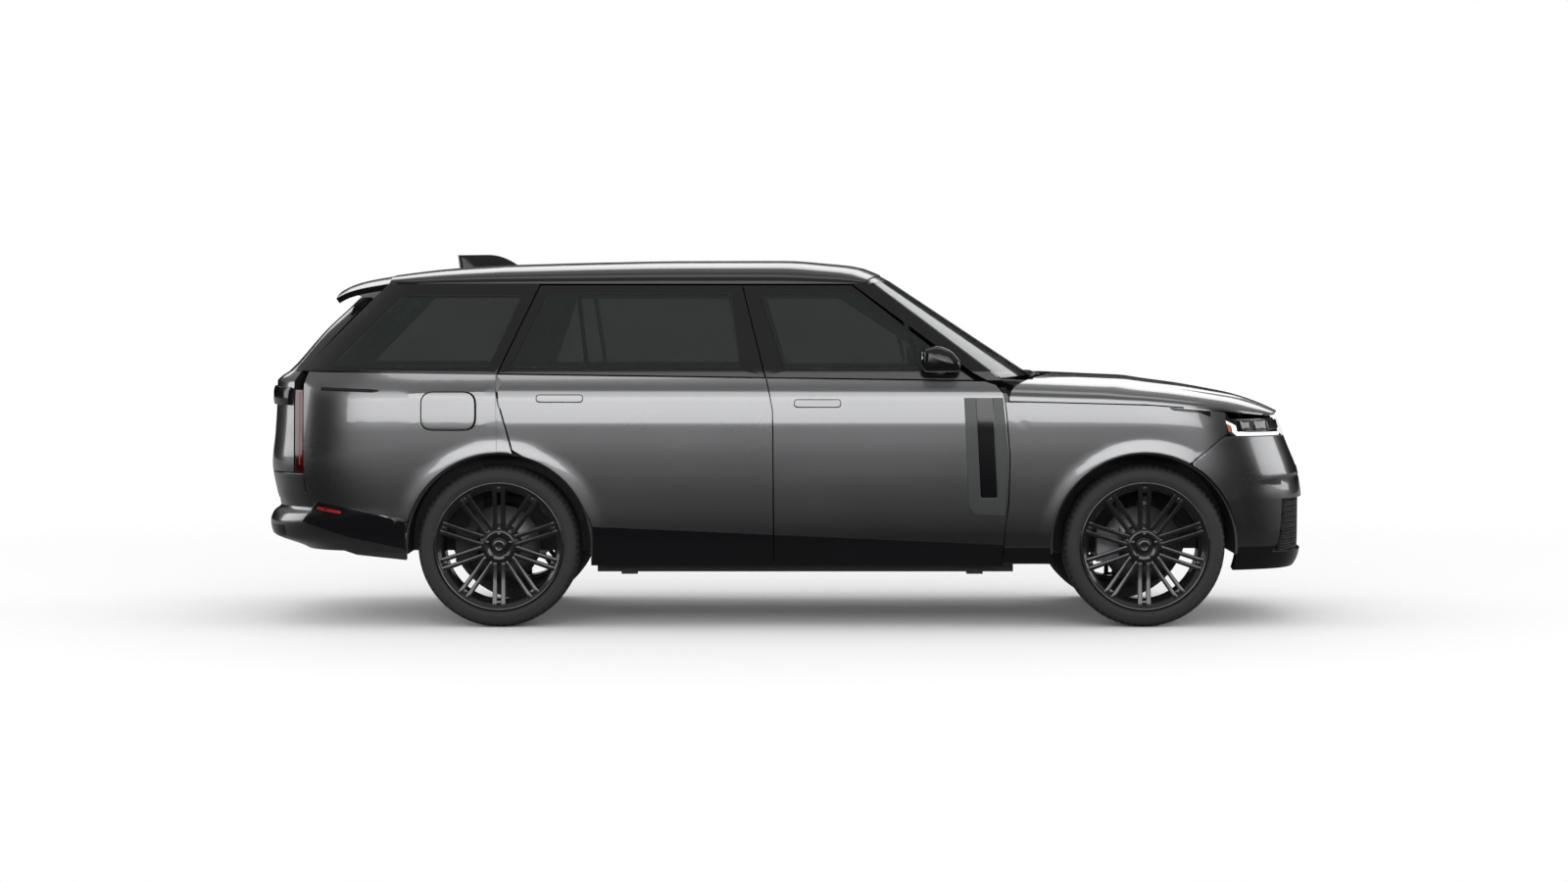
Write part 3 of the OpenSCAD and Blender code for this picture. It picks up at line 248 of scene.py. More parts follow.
def spun(bm, count):
    """Repeats a mesh about the wheel's axle."""
    bmesh.ops.spin(bm, geom=bm.verts[:] + bm.edges[:] + bm.faces[:], cent=(0, 0, 0), axis=(0, 1, 0),
                   dvec=(0, 0, 0), angle=2 * math.pi * (count - 1) / count, steps=count - 1,
                   use_duplicate=True)
    return bm


def wheel_nut():
    bm = bmesh.new()
    bmesh.ops.create_cone(bm, cap_ends=True, segments=6, radius1=0.0115, radius2=0.0105, depth=0.02)
    bmesh.ops.bevel(bm, geom=bm.edges[:], offset=0.0012, offset_type="OFFSET", segments=2, profile=0.5,
                    affect="EDGES", material=-1)
    bmesh.ops.rotate(bm, verts=bm.verts, cent=(0, 0, 0), matrix=Matrix.Rotation(-math.pi / 2, 3, "X"))
    bmesh.ops.translate(bm, verts=bm.verts, vec=(0, 0.108, 0.0595))
    return bm


def spoke_root():
    """The web that ties the two bars of a spoke together at the hub and at the lip."""
    parts = []
    for low, high, top in ((0.062, 0.092, 0.1), (0.268, 0.306, 0.1245)):
        bm = bmesh.new()
        bmesh.ops.create_cube(bm, size=1)
        for v in bm.verts:
            v.co = (v.co.x * 0.04, top - 0.004 - (0.5 - v.co.y) * 0.026, low + (v.co.z + 0.5) * (high - low))
        bmesh.ops.bevel(bm, geom=bm.edges[:], offset=0.003, offset_type="OFFSET", segments=2, profile=0.5,
                        affect="EDGES", material=-1)
        parts.append(bm)
    return joined(parts)


for axle in axles:
    for side in ("left", "right"):
        name = "wheel_%s_%s" % (axle, side)
        bm = joined([turned_ring(rim, 96), turned_ring(hub, 64), spun(spoke_bar(1), spoke_count),
                     spun(spoke_bar(-1), spoke_count), spun(spoke_root(), spoke_count), spun(wheel_nut(),
                         5)])
        at_wheel(bm, axle, side)
        piece(name + "_alloy", bm, name, [gloss_wheel], [name])
        bm = turned_ring(disc, 96)
        at_wheel(bm, axle, side)
        piece(name + "_disc", bm, name, [disc_iron])

# Body sides: stamped steel sheet, spot-welded to sill, pillars and roof rail. The quarter behind the
# rear door is painted metallic grey below the belt line and gloss black round its window.
roof_height = 1.82
wheelbase = 3.197
front_axle = 1.772
rear_axle = -1.425
front_overhang = 0.854
rear_overhang = 1.201
arch_radius = 0.466
proud = 0.003
shut = 0.003
section_table = [(.14, .885), (.17, .915), (.2, .945), (.224, .965), (.26, .98), (.33, .991), (.42, .998),
                 (.5, 1), (.548, .9998), (.562, .9986), (.6, .9938), (.636, .9882), (.652, .978), (.672,
                     .966),
                 (.695, .957), (.78, .9), (.86, .842), (.934, .782), (1, .7)]
nose_table = [(.14, .93), (.156, .967), (.184, .991), (.2176, 1), (.3467, 1), (.383, .991), (.431, .97),
              (.5, .917), (.5626, .865), (.62, .8)]
tail_table = [(.2, .83), (.212, .863), (.2456, .99), (.28, 1), (.305, .985), (.322, .955), (.36, .97),
              (.44, .99), (.52, .978), (.6, .97), (.668, .968), (.693, .9176), (.807, .765), (.886, .637),
              (.94, .56)]
front_cut = [(.16, .78), (.269, .7825), (.335, .788), (.462, .79), (.591, .784), (.636, .78), (.6685, .766),
             (.674, .744), (.93, .547)]
split_cut = [(.16, .426), (.587, .424), (.635, .419), (.68, .413), (.69, .409), (.781, .3985), (.93, .377)]
rear_cut = [(.16, .03), (.466, .024), (.507, .018), (.656, -.007), (.693, -.005), (.707, .003), (.93, .0615)]
quarter_end = [(.28, -.37), (.295, -.385), (.353, -.74), (.36, -.8), (.42, -.81), (.66, -.81), (.7, -.79),
               (.905, -.5), (.93, -.462)]
front_round = front_axle - 0.43 * front_overhang
rear_round = rear_axle - 0.06 * rear_overhang


def along(s):
    """Distance along the body at a station: 0 and 1 are the axles."""
    if s < 0:
        return rear_axle + s * rear_overhang
    return rear_axle + s * wheelbase if s < 1 else front_axle + (s - 1) * front_overhang


def blend(a, b, t):
    return a + (b - a) * t


def lookup(key, table):
    """Straight value between the points of a table."""
    for (k0, v0), (k1, v1) in zip(table, table[1:]):
        if key <= k1:
            return blend(v0, v1, max(0, (key - k0) / (k1 - k0)))
    return table[-1][1]


def curve(key, table):
    """Smooth value between the points of a table, with no overshoot."""
    last = len(table) - 1
    if key <= table[0][0] or key >= table[last][0]:
        return table[0][1] if key <= table[0][0] else table[last][1]
    after = next(n for n in range(1, last + 1) if key <= table[n][0])

    def rise(n):
        return (table[n + 1][1] - table[n][1]) / (table[n + 1][0] - table[n][0])

    def slope(n):
        if n in (0, last):
            return rise(min(n, last - 1))
        left, right = rise(n - 1), rise(n)
        return 0 if left * right <= 0 else 2 * left * right / (left + right)

    (k0, v0), (k1, v1) = table[after - 1], table[after]
    h = k1 - k0
    t = (key - k0) / h
    return (v0 * (1 + 2 * t) * (1 - t) ** 2 + v1 * t * t * (3 - 2 * t)
            + h * t * (1 - t) * (slope(after - 1) * (1 - t) - slope(after) * t))


def taper(u, power):
    return 1 if u <= 0 else 0 if u >= 1 else (1 - u ** power) ** (1 / power)


def section(z):
    return curve(z / roof_height, section_table) + proud


def nose_x(z):
    return front_axle + front_overhang * curve(z / roof_height, nose_table) + proud


def tail_x(z):
    return rear_axle - rear_overhang * curve(z / roof_height, tail_table) - proud


def cut_x(table, z):
    return along(lookup(z / roof_height, table))


def flare(x, z):
    """Swell of the wheel arch lips."""
    reach = min(math.hypot(x - axle, z - tyre_radius) for axle in (front_axle, rear_axle))
    return 0.007 * max(0, min(1, (0.527 - reach) / 0.055))


def side_y(x, z):
    return (section(z) * taper((x - front_round) / (nose_x(z) - front_round), 4)
            * taper((rear_round - x) / (rear_round - tail_x(z)), 4.5) + flare(x, z))


def belt(x):
    """Height of the belt line, where paint meets the black window frames."""
    return 1.2645 - 0.01368 * (x + 2.328)


def pierced(bm, outline):
    """Cuts a convex opening, seen from the side, out of a sheet."""
    pairs = [(a, b) for a, b in zip(outline, outline[1:] + outline[:1]) if math.dist(a, b) > 1e-6]
    low = [min(p[k] for p in outline) - 0.05 for k in (0, 1)]
    high = [max(p[k] for p in outline) + 0.05 for k in (0, 1)]
    for (x0, z0), (x1, z1) in pairs:
        near = set()
        for f in bm.faces:
            c = f.calc_center_median()
            if low[0] < c.x < high[0] and low[1] < c.z < high[1]:
                near.update([f, *f.edges, *f.verts])
        bmesh.ops.bisect_plane(bm, geom=list(near), plane_co=(x0, 0, z0), plane_no=(z1 - z0, 0, x0 - x1))
    gone = []
    for f in bm.faces:
        c = f.calc_center_median()
        if all((x1 - x0) * (c.z - z0) > (z1 - z0) * (c.x - x0) for (x0, z0), (x1, z1) in pairs):
            gone.append(f)
    bmesh.ops.delete(bm, geom=gone, context="FACES")


def skin(name, columns, rows, point, body, materials, thick, replaced=(), side=1, drop=None, tint=None,
         hole=None):
    """A panel of sheet: a grid laid on the body's surface, given its thickness and rounded edges."""
    bm = bmesh.new()
    bmesh.ops.create_grid(bm, x_segments=columns, y_segments=rows, size=0.5)
    for v in bm.verts:
        x, y, z = point(round((v.co.x + 0.5) * columns), round((v.co.y + 0.5) * rows))
        v.co = (x, side * y, z)
    if drop:
        gone = [f for f in bm.faces if drop(f.calc_center_median())]
        bmesh.ops.delete(bm, geom=gone, context="FACES")
    bmesh.ops.remove_doubles(bm, verts=bm.verts, dist=1e-5)
    if hole:
        pierced(bm, hole)
    bm.normal_update()
    if sum(f.normal.dot(f.calc_center_median() - Vector((f.calc_center_median().x * 0.7, 0, 0.9)))
           * f.calc_area() for f in bm.faces) < 0:
        bmesh.ops.reverse_faces(bm, faces=bm.faces)
    if tint:
        for f in bm.faces:
            f.material_index = tint(f.calc_center_median())
    made = piece(name, bm, body, materials, replaced)
    sheet = made.modifiers.new("sheet", "SOLIDIFY")
    sheet.thickness = thick
    sheet.offset = -1
    sheet.use_even_offset = True
    sheet.material_offset = 1 if len(materials) > 1 else 0
    edge = made.modifiers.new("edge", "BEVEL")
    edge.width = 0.0025
    edge.segments = 2
    edge.limit_method = "ANGLE"
    edge.angle_limit = math.radians(50)
    made.modifiers.new("shade", "WEIGHTED_NORMAL").keep_sharp = True
    return made


def spread(knots, step):
    """Splits a list of values into steps no longer than the given one, keeping each value."""
    values = [knots[0]]
    for a, b in zip(knots, knots[1:]):
        count = max(1, math.ceil(abs(b - a) / step))
        values += [blend(a, b, n / count) for n in range(1, count + 1)]
    return values


def crossings(axle, angle, outline):
    """Distances from an axle at which a ray at this angle meets an outline seen from the side."""
    dx, dz = math.cos(angle), math.sin(angle)
    found = []
    for (x0, z0), (x1, z1) in zip(outline, outline[1:]):
        a0 = (x0 - axle) * dz - (z0 - tyre_radius) * dx
        a1 = (x1 - axle) * dz - (z1 - tyre_radius) * dx
        if (a0 <= 0) != (a1 <= 0):
            t = a0 / (a0 - a1)
            reach = (blend(x0, x1, t) - axle) * dx + (blend(z0, z1, t) - tyre_radius) * dz
            if reach > 0:
                found.append(reach)
    return sorted(found)


def arch_panel(name, axle, outline, material, replaced, side, hole=None):
    """A panel that surrounds a wheel arch, laid out in rays from the axle."""
    corners = [math.atan2(z - tyre_radius, x - axle) % (2 * math.pi) for x, z in outline]
    fan = spread(sorted(corners), 0.035)
    fan = [fan[0] + 1e-4] + fan[1:-1] + [fan[-1] - 1e-4]
    reaches = []
    for angle in fan:
        found = crossings(axle, angle, outline) or [arch_radius]
        reaches.append((max(arch_radius, found[0]) if len(found) > 1 else arch_radius,
                        max(arch_radius, found[-1])))
    rings = [0, .02, .05, .09, .13, .18, .24, .3, .36, .42, .48, .54, .6, .66, .72, .78, .84, .9, .95, 1]

    def point(i, j):
        reach = blend(*reaches[i], rings[j])
        x = axle + reach * math.cos(fan[i])
        z = tyre_radius + reach * math.sin(fan[i])
        return x, side_y(x, z), z

    return skin(name, len(fan) - 1, len(rings) - 1, point, "body", [material], 0.02, replaced, side,
                hole=hole)


paint = finish("metallic grey paint", (0.15, 0.151, 0.154), (0.172, 0.174, 0.178), (0.26, 0.3), 1400,
               metallic=0.96, coat_weight=1.0, coat_roughness=0.04)
piano = finish("gloss black paint", (0.003, 0.003, 0.0035), (0.006, 0.006, 0.007), (0.1, 0.18), 900,
               specular_ior_level=0.35, coat_weight=0.25, coat_roughness=0.05)
for name in ("body_side_left", "body_side_right"):
    dress(name, piano)


def edge_line(table, low, high, gap, count=10):
    """Points of a shut line between two heights."""
    heights = [blend(low, high, n / count) for n in range(count + 1)]
    return [(cut_x(table, z) + gap, z) for z in heights]


def arch_meet(axle, x):
    """Height at which the wheel arch passes a place along the body."""
    return tyre_radius + math.sqrt(max(0, arch_radius ** 2 - (x - axle) ** 2))


quarter_top = [(x, belt(x) - shut) for x in (-1.431 - shut, -1.7, -1.9, -2.1, -2.3, -2.377)]
quarter_outline = (edge_line(rear_cut, arch_meet(rear_axle, -1.345), belt(-1.431) - shut, -2 * shut)
                   + quarter_top[1:] + [(along(-.81), 1.2), (along(-.81), .7644), (along(-.8), .6552),
                                        (along(-.74), .6425), (along(-.385), .5369), (-1.8795, .512)])


def rounded(corners, radius):
    """A closed outline with its corners rounded."""
    ring = []
    for n, corner in enumerate(corners):
        here = Vector(corner)
        before = (Vector(corners[n - 1]) - here).normalized() * radius + here
        after = (Vector(corners[(n + 1) % len(corners)]) - here).normalized() * radius + here
        for t in (0, .2, .4, .6, .8, 1):
            ring.append(tuple(before * (1 - t) ** 2 + here * 2 * t * (1 - t) + after * t * t))
    return ring


def patch(name, outline, body, materials, side, lift=0.002, thick=0.004, crown=0.0, replaced=()):
    """A piece laid on the body side within a closed outline, domed by its crown."""
    ring = []
    for a, b in zip(outline, outline[1:] + outline[:1]):
        count = max(1, math.ceil(math.dist(a, b) / 0.03))
        ring += [(blend(a[0], b[0], n / count), blend(a[1], b[1], n / count)) for n in range(count)]
    middle = [sum(p[k] for p in ring) / len(ring) for k in (0, 1)]

    def point(i, j):
        x, z = (blend(middle[k], ring[i % len(ring)][k], j / 6) for k in (0, 1))
        return x, side_y(x, z) + lift + crown * (1 - (j / 6) ** 4), z

    return skin(name, len(ring), 6, point, body, materials, thick, replaced, side)


def strip(name, low, high, body, materials, side, lift=0.002, thick=0.004, rows=2, replaced=()):
    """A trim strip laid on the body side between two lines of equally many points."""
    stops = [(low[0], high[0])]
    for n in range(1, len(low)):
        count = max(1, math.ceil(math.dist(low[n - 1], low[n]) / 0.03))
        stops += [[[blend(line[n - 1][k], line[n][k], m / count) for k in (0, 1)] for line in (low, high)]
                  for m in range(1, count + 1)]

    def point(i, j):
        x, z = (blend(stops[i][0][k], stops[i][1][k], j / rows) for k in (0, 1))
        return x, side_y(x, z) + lift, z

    return skin(name, len(stops) - 1, rows, point, body, materials, thick, replaced, side)


flap_outline = rounded([(-1.8045, .9775), (-1.5405, .9775), (-1.5405, 1.1635), (-1.8045, 1.1635)], 0.058)
flap_hole = rounded([(-1.8085, .9735), (-1.5315, .9735), (-1.5315, 1.1675), (-1.8085, 1.1675)], 0.062)
for side, y in (("left", 1), ("right", -1)):
    arch_panel("quarter_%s_skin" % side, rear_axle, quarter_outline, paint, (), y,
               hole=flap_hole if side == "right" else None)


def frame_ring(name, inner, outer, body, side, thick=0.02, replaced=()):
    """A gloss black frame between a window's edge and a panel's edge, corner for corner."""
    stops = []
    for n in range(len(inner)):
        a, b = inner[n - 1], inner[n]
        c, d = outer[n - 1], outer[n]
        count = max(2, math.ceil(math.dist(c, d) / 0.035))
        stops += [([blend(a[k], b[k], m / count) for k in (0, 1)], [blend(c[k], d[k],
            m / count) for k in (0, 1)])
                  for m in range(count)]
    stops.append(stops[0])
    layers = 4

    def point(i, j):
        x, z = (blend(stops[i][0][k], stops[i][1][k], j / layers) for k in (0, 1))
        return x, side_y(x, z), z

    return skin(name, len(stops) - 1, layers, point, body, [piano], thick, replaced, side)


def corners_of(shares):
    return [(along(s), k * roof_height) for s, k in shares]


quarter_window = corners_of([(-.04, .708), (.034, .9), (-.4, .9), (-.69, .708)])
quarter_frame = [(-1.431 - shut, belt(-1.431) + shut), (along(.0615) - shut, .9335 * roof_height),
                 (along(-.475), .9335 * roof_height), (along(-.828), belt(-2.42) + shut)]
for side, y in (("left", 1), ("right", -1)):
    frame_ring("quarter_%s_frame" % side, quarter_window, quarter_frame, "body", y)

# Roof: one stamped panel, bonded and laser-welded between the roof rails and finished in gloss black.
# The aerial fin behind it is a moulded cover, clipped and sealed to the sheet.
roof_top = [(-.48, .9585), (-.464, .9604), (-.2315, .9786), (.003, .9885), (.1545, .9956), (.282, .9995),
            (.4457, 1), (.518, .991), (.5596, .983), (.5896, .9654), (.6074, .951)]
roof_stations = spread([-.464, -.3, -.15, 0, .1, .2, .3, .4, .48, .53, .57, .598], .025)
roof_columns = 48


def bent(c, power):
    return math.copysign(abs(c) ** (2 / power), c)


def roof_point(i, j):
    s = roof_stations[i]
    a = math.pi / 2 - math.pi * j / roof_columns
    v, w = bent(math.sin(a), 2.5), abs(bent(math.cos(a), 2.5))
    f = (s + .464) / 1.062
    x = along(s) - 0.092 * v * v * f ** 3
    e = .9345 * roof_height
    return x, side_y(x, e) * v, e + (curve(s, roof_top) * roof_height + 0.002 - e) * w


skin("roof_skin", len(roof_stations) - 1, roof_columns, roof_point, "body", [piano], 0.02,
     ["roof_panel"])


def lofted(rings):
    """A closed body drawn through rings of equally many points."""
    bm = bmesh.new()
    columns, rows = len(rings[0]), len(rings) - 1
    bmesh.ops.create_grid(bm, x_segments=columns, y_segments=rows, size=0.5)
    for v in bm.verts:
        v.co = rings[round((v.co.y + 0.5) * rows)][round((v.co.x + 0.5) * columns) % columns]
    bmesh.ops.remove_doubles(bm, verts=bm.verts, dist=1e-5)
    bmesh.ops.holes_fill(bm, edges=[e for e in bm.edges if e.is_boundary])
    bmesh.ops.recalc_face_normals(bm, faces=bm.faces)
    return bm


def fin_ring(f):
    x = blend(-1.696, -1.360, f)
    high = 1.772 + 0.084 * (1 - max(0, (f - .45) / .55) ** 2) + 0.004 * f - 0.003
    wide = 0.027 * (0.45 + 0.55 * min(1, f * 3)) * (1 - 0.7 * max(0, f - .4))
    turn = [2 * math.pi * n / 24 for n in range(24)]
    return [(x - 0.012 * max(0, math.sin(a)) * (1 - f), wide * math.cos(a) * (1 - 0.62 * max(0,
        math.sin(a))),
             1.772 + (high - 1.772) * max(0, math.sin(a)) - 0.004 * max(0, -math.sin(a))) for a in turn]


piece("roof_fin_cover", lofted([fin_ring(n / 16) for n in range(17)]), "body", [piano],
      ["roof_fin"])

# Fenders: stamped aluminium, bolted along the bonnet edge and to the door pillar. Each ends at a
# slanted cut above the bumper, with a rolled lip round the wheel arch.
bonnet_line = [(.78, .6165), (1, .607), (1.2, .6), (1.62, .579), (1.72, .574)]


def station_of(x):
    if x < rear_axle:
        return (x - rear_axle) / rear_overhang
    return (x - rear_axle) / wheelbase if x < front_axle else 1 + (x - front_axle) / front_overhang


def bonnet_edge(x):
    return curve(station_of(x), bonnet_line) * roof_height


fender_foot = .17 * roof_height
fender_outline = ([(front_axle - math.sqrt(arch_radius ** 2 - (tyre_radius - fender_foot) ** 2),
                    fender_foot)]
                  + edge_line(front_cut, fender_foot, 1.113, 2 * shut, 16)
                  + [(x, bonnet_edge(x) - 2 * shut) for x in (1.2, 1.35, 1.5, 1.65, 1.8, 1.95, 2.1, 2.17)]
                  + [(2.182, .958), (2.0026, .819), (2.0026, arch_meet(front_axle, 2.0026))])
for side, y in (("left", 1), ("right", -1)):
    arch_panel("fender_%s_skin" % side, front_axle, fender_outline, paint, ["fender_" + side], y)
    heights = (.313, .34, .37, .395)
    strip("fender_%s_sill" % side, [(cut_x(front_cut, z) + 2 * shut, z) for z in heights],
          [(front_axle - math.sqrt(arch_radius ** 2 - (z - tyre_radius) ** 2), z) for z in heights], "body",
          [piano], y, 0.0015, 0.003, 6)

# Bonnet: a wide stamped aluminium shell folded down over both fenders, hinged below the windscreen
# and latched at the nose.
bonnet_top = [(.78, .69), (.87, .6835), (.97, .6755), (1.1, .6655), (1.31, .652), (1.5, .636), (1.6, .6265),
              (1.74, .605), (1.82, .588), (1.87, .576)]
bonnet_rows = 44
bonnet_columns = 64


def bonnet_nose(f):
    reach = nose_x(.578 * roof_height) - front_round
    return front_round + reach * (1 - (.79 * f) ** 4) ** .25


def bonnet_point(i, j):
    u = i / bonnet_rows
    a = math.pi / 2 - math.pi * j / bonnet_columns
    v, w = bent(math.sin(a), 3), abs(bent(math.cos(a), 3))
    f = abs(v)
    back_mid, back_edge = along(.874), along(.79)
    x = blend(blend(back_mid, back_edge, f * f), bonnet_nose(f), u)
    xs = blend(back_edge, bonnet_nose(1), u)
    xm = blend(back_mid, bonnet_nose(0), u)
    e = bonnet_edge(xs)
    top = curve(station_of(xm), bonnet_top) * roof_height + proud
    ridge = 0.006 * math.exp(-((f - 0.62) / 0.06) ** 2) * min(1, 6 * u, 6 * (1 - u))
    return x, side_y(xs, e) * v, e + (top - e + ridge) * w


skin("bonnet_skin", bonnet_rows, bonnet_columns, bonnet_point, "bonnet", [paint, moulded], 0.018,
     ["bonnet"])

# Windscreen: laminated glass, bonded to the pillars and the roof edge with a black printed border.
# The moulded cowl below it carries the two wipers.
screen_rows, screen_columns = 14, 24


def glazing(name, clear, tint):
    """Tinted glass: mostly see-through, with a polished surface."""
    material = bpy.data.materials.new(name)
    material.use_nodes = True
    tree = material.node_tree
    shader = tree.nodes["Principled BSDF"]
    start = Sock(tree)
    place = start.node("TexCoord", out=3)
    haze = start.node("TexNoise", {}, {"Vector": place, "Scale": 5.0, "Detail": 4.0})
    shade = start.node("Mix", {"data_type": "RGBA"}, {0: haze, 6: (*tint, 1),
                                                      7: (*[c * 1.5 for c in tint], 1)}, 2)
    tree.links.new(shade.out, shader.inputs["Base Color"])
    tree.links.new((haze * 0.04 + 0.02).out, shader.inputs["Roughness"])
    tree.links.new((haze * -0.03 + (1 - clear)).out, shader.inputs["Alpha"])
    return material


screen_glass = glazing("windscreen glass", 0.3, (0.01, 0.014, 0.013))
privacy_glass = glazing("tinted glass", 0.32, (0.008, 0.011, 0.010))


def screen_point(i, j):
    u = blend(.02, .97, i / screen_rows)
    v = 1 - 2 * j / screen_columns
    xe, ze = blend(along(.7817), along(.5746), u), blend(.672, .9467, u) * roof_height
    xm, zm = blend(along(.842), along(.6074), u), blend(.677, .9495, u) * roof_height
    return blend(xm, xe, v * v), (side_y(xe, ze) - 0.044) * v, blend(zm, ze, v * v)


skin("windscreen_pane", screen_rows, screen_columns, screen_point, "body", [screen_glass], 0.005,
     ["windscreen"])


def header_point(i, j):
    low = screen_point(screen_rows, j)
    v = 1 - 2 * j / screen_columns
    w = (1 - abs(v) ** 2.5) ** .4
    x = along(.598) - 0.092 * v * v
    e = .9345 * roof_height
    high = (x, side_y(x, e) * v, e + (curve(.598, roof_top) * roof_height + 0.002 - e) * w - 0.006)
    return tuple(blend(low[k], high[k], i / 4) for k in range(3))


skin("windscreen_header", 4, screen_columns, header_point, "body", [piano], 0.012)
wiper_paths = (((1.225, -0.70, 1.238), (1.262, -0.42, 1.246), (1.279, -0.1, 1.250)),
               ((1.262, -0.06, 1.250), (1.268, 0.28, 1.248), (1.236, 0.60, 1.240)))
for n, path in enumerate(wiper_paths):
    rings = []
    for m in range(13):
        t = m / 6
        a, b, t = (path[0], path[1], t) if t <= 1 else (path[1], path[2], t - 1)
        x, y, z = (blend(a[k], b[k], t) for k in range(3))
        wide = 0.011 - 0.0004 * m
        rings.append([(x + wide * math.cos(q), y, z + 0.6 * wide * math.sin(q))
                      for q in [math.pi * k / 5 for k in range(10)]])
    piece("wiper_%d" % (n + 1), lofted(rings), "body", [moulded])

# Front bumper: an injection-moulded cover, painted above and black at its lip, clipped to the fenders.
# Its two openings hold the main grille and the lower intake.
fender_end = [(.16, 1.27), (.45, 1.27), (.5264, 1.48), (.548, 1.47), (.62, 1.16)]
bumper_heights = spread([.15, .156, .165, .184, .2, .216, .2176, .3, .345, .3467, .383, .43, .47, .5175],
                        .012)
bumper_columns = 72
opening_columns = 22
grille_edge = [(.43, .56), (.47, .6), (.5175, .62)]


def nose_at(y, z):
    """Point on the nose at a distance from the middle."""
    return (front_round + (nose_x(z) - front_round) * taper(min(abs(y) / section(z), .99999), 4), y, z)


def opening_half(z):
    return lookup(z / roof_height, grille_edge) if z > .4 * roof_height else .8


def bumper_end(z):
    arch = math.sqrt(max(0, arch_radius ** 2 - (z - tyre_radius) ** 2))
    return max(front_axle + arch, cut_x(fender_end, z) + 0.007)


def bumper_point(i, j):
    z = bumper_heights[j] * roof_height
    q = 2 * i / bumper_columns - 1
    inner = opening_columns / bumper_columns * 2
    if abs(q) <= inner + 1e-6:
        return nose_at(opening_half(z) * q / inner, z)
    end_angle = math.acos(min(1, ((bumper_end(z) - front_round) / (nose_x(z) - front_round)) ** 2))
    start_angle = math.asin((opening_half(z) / section(z)) ** 2)
    angle = blend(start_angle, end_angle, (abs(q) - inner) / (1 - inner))
    x = front_round + (nose_x(z) - front_round) * math.cos(angle) ** .5
    y = section(z) * math.sin(angle) ** .5 + flare(x, z)
    return x, math.copysign(y, q), z


def in_openings(centre):
    k = centre.z / roof_height
    return abs(centre.y) < opening_half(centre.z) - 0.004 and (.2 < k < .345 or k > .43)


def lip_black(centre):
    return 2 if centre.z < .216 * roof_height else 0


skin("front_bumper_cover", bumper_columns, len(bumper_heights) - 1, bumper_point, "body",
     [paint, moulded, piano, moulded], 0.03, ["front_bumper"], drop=in_openings, tint=lip_black)

# Grille: gloss black mouldings clipped in behind the bumper's two openings, with slim bars in front
# of a fine moulded screen.
dress("grille", piano)


def wire_screen(name, low, high, half, columns, rows, inset):
    """A fine woven screen that follows the nose behind an opening."""
    bm = bmesh.new()
    bmesh.ops.create_grid(bm, x_segments=columns, y_segments=rows, size=0.5)
    for v in bm.verts:
        row = round((v.co.y + 0.5) * rows)
        z = blend(low, high, row / rows) * roof_height
        shift = (row % 2 - 0.5) / columns if abs(v.co.x) < 0.499 else 0
        x, y, z = nose_at((v.co.x + shift) * 2 * half(z), z)
        v.co = (x - inset, y, z)
    made = piece(name, bm, "body", [moulded])
    wires = made.modifiers.new("wires", "WIREFRAME")
    wires.thickness = 0.005
    return made


wire_screen("grille_screen", .434, .513, lambda z: opening_half(z) - 0.02, 70, 11, 0.02)
wire_screen("intake_screen", .204, .341, lambda z: 0.76, 84, 18, 0.02)

# Headlamps: a clear moulded lens sealed over a black bowl, screwed in between bonnet, fender and
# bumper. A bent light guide for daylight, an amber marker and three reflectors sit in the bowl.
glow = bpy.data.materials.new("daylight guide")
glow.use_nodes = True
start = Sock(glow.node_tree)
frost = start.node("TexNoise", {}, {"Vector": start.node("TexCoord", out=3), "Scale": 120.0})
shader = glow.node_tree.nodes["Principled BSDF"]
lit = start.node("Mix", {"data_type": "RGBA"}, {0: frost, 6: (0.9, 0.93, 0.95, 1), 7: (1, 1, 1, 1)}, 2)
glow.node_tree.links.new(lit.out, shader.inputs["Base Color"])
glow.node_tree.links.new(lit.out, shader.inputs["Emission Color"])
shader.inputs["Emission Strength"].default_value = 0.75
amber = finish("amber marker", (0.45, 0.12, 0.06), (0.55, 0.16, 0.08), (0.2, 0.3), 200)
reflector = finish("lamp reflector", (0.12, 0.12, 0.125), (0.2, 0.2, 0.21), (0.12, 0.2), 60, metallic=1.0)
lamp_lens = glazing("lamp lens", 0.9, (0.02, 0.02, 0.02))
lamp_levels = spread([.5177, .535, .55, .566], .008)


def lamp_point(i, j, inset=0.0):
    z = lamp_levels[j] * roof_height
    end = cut_x(fender_end, z) + 0.006
    end_angle = math.acos(min(1, ((end - front_round) / (nose_x(z) - front_round)) ** 2))
    start_angle = math.asin((.612 / section(z)) ** 2)
    angle = blend(start_angle, end_angle, i / 24)
    return (front_round + (nose_x(z) - front_round - inset) * math.cos(angle) ** .5,
            (section(z) - inset) * math.sin(angle) ** .5, z)


def lamp_back(z):
    return cut_x(fender_end, z) + 0.010


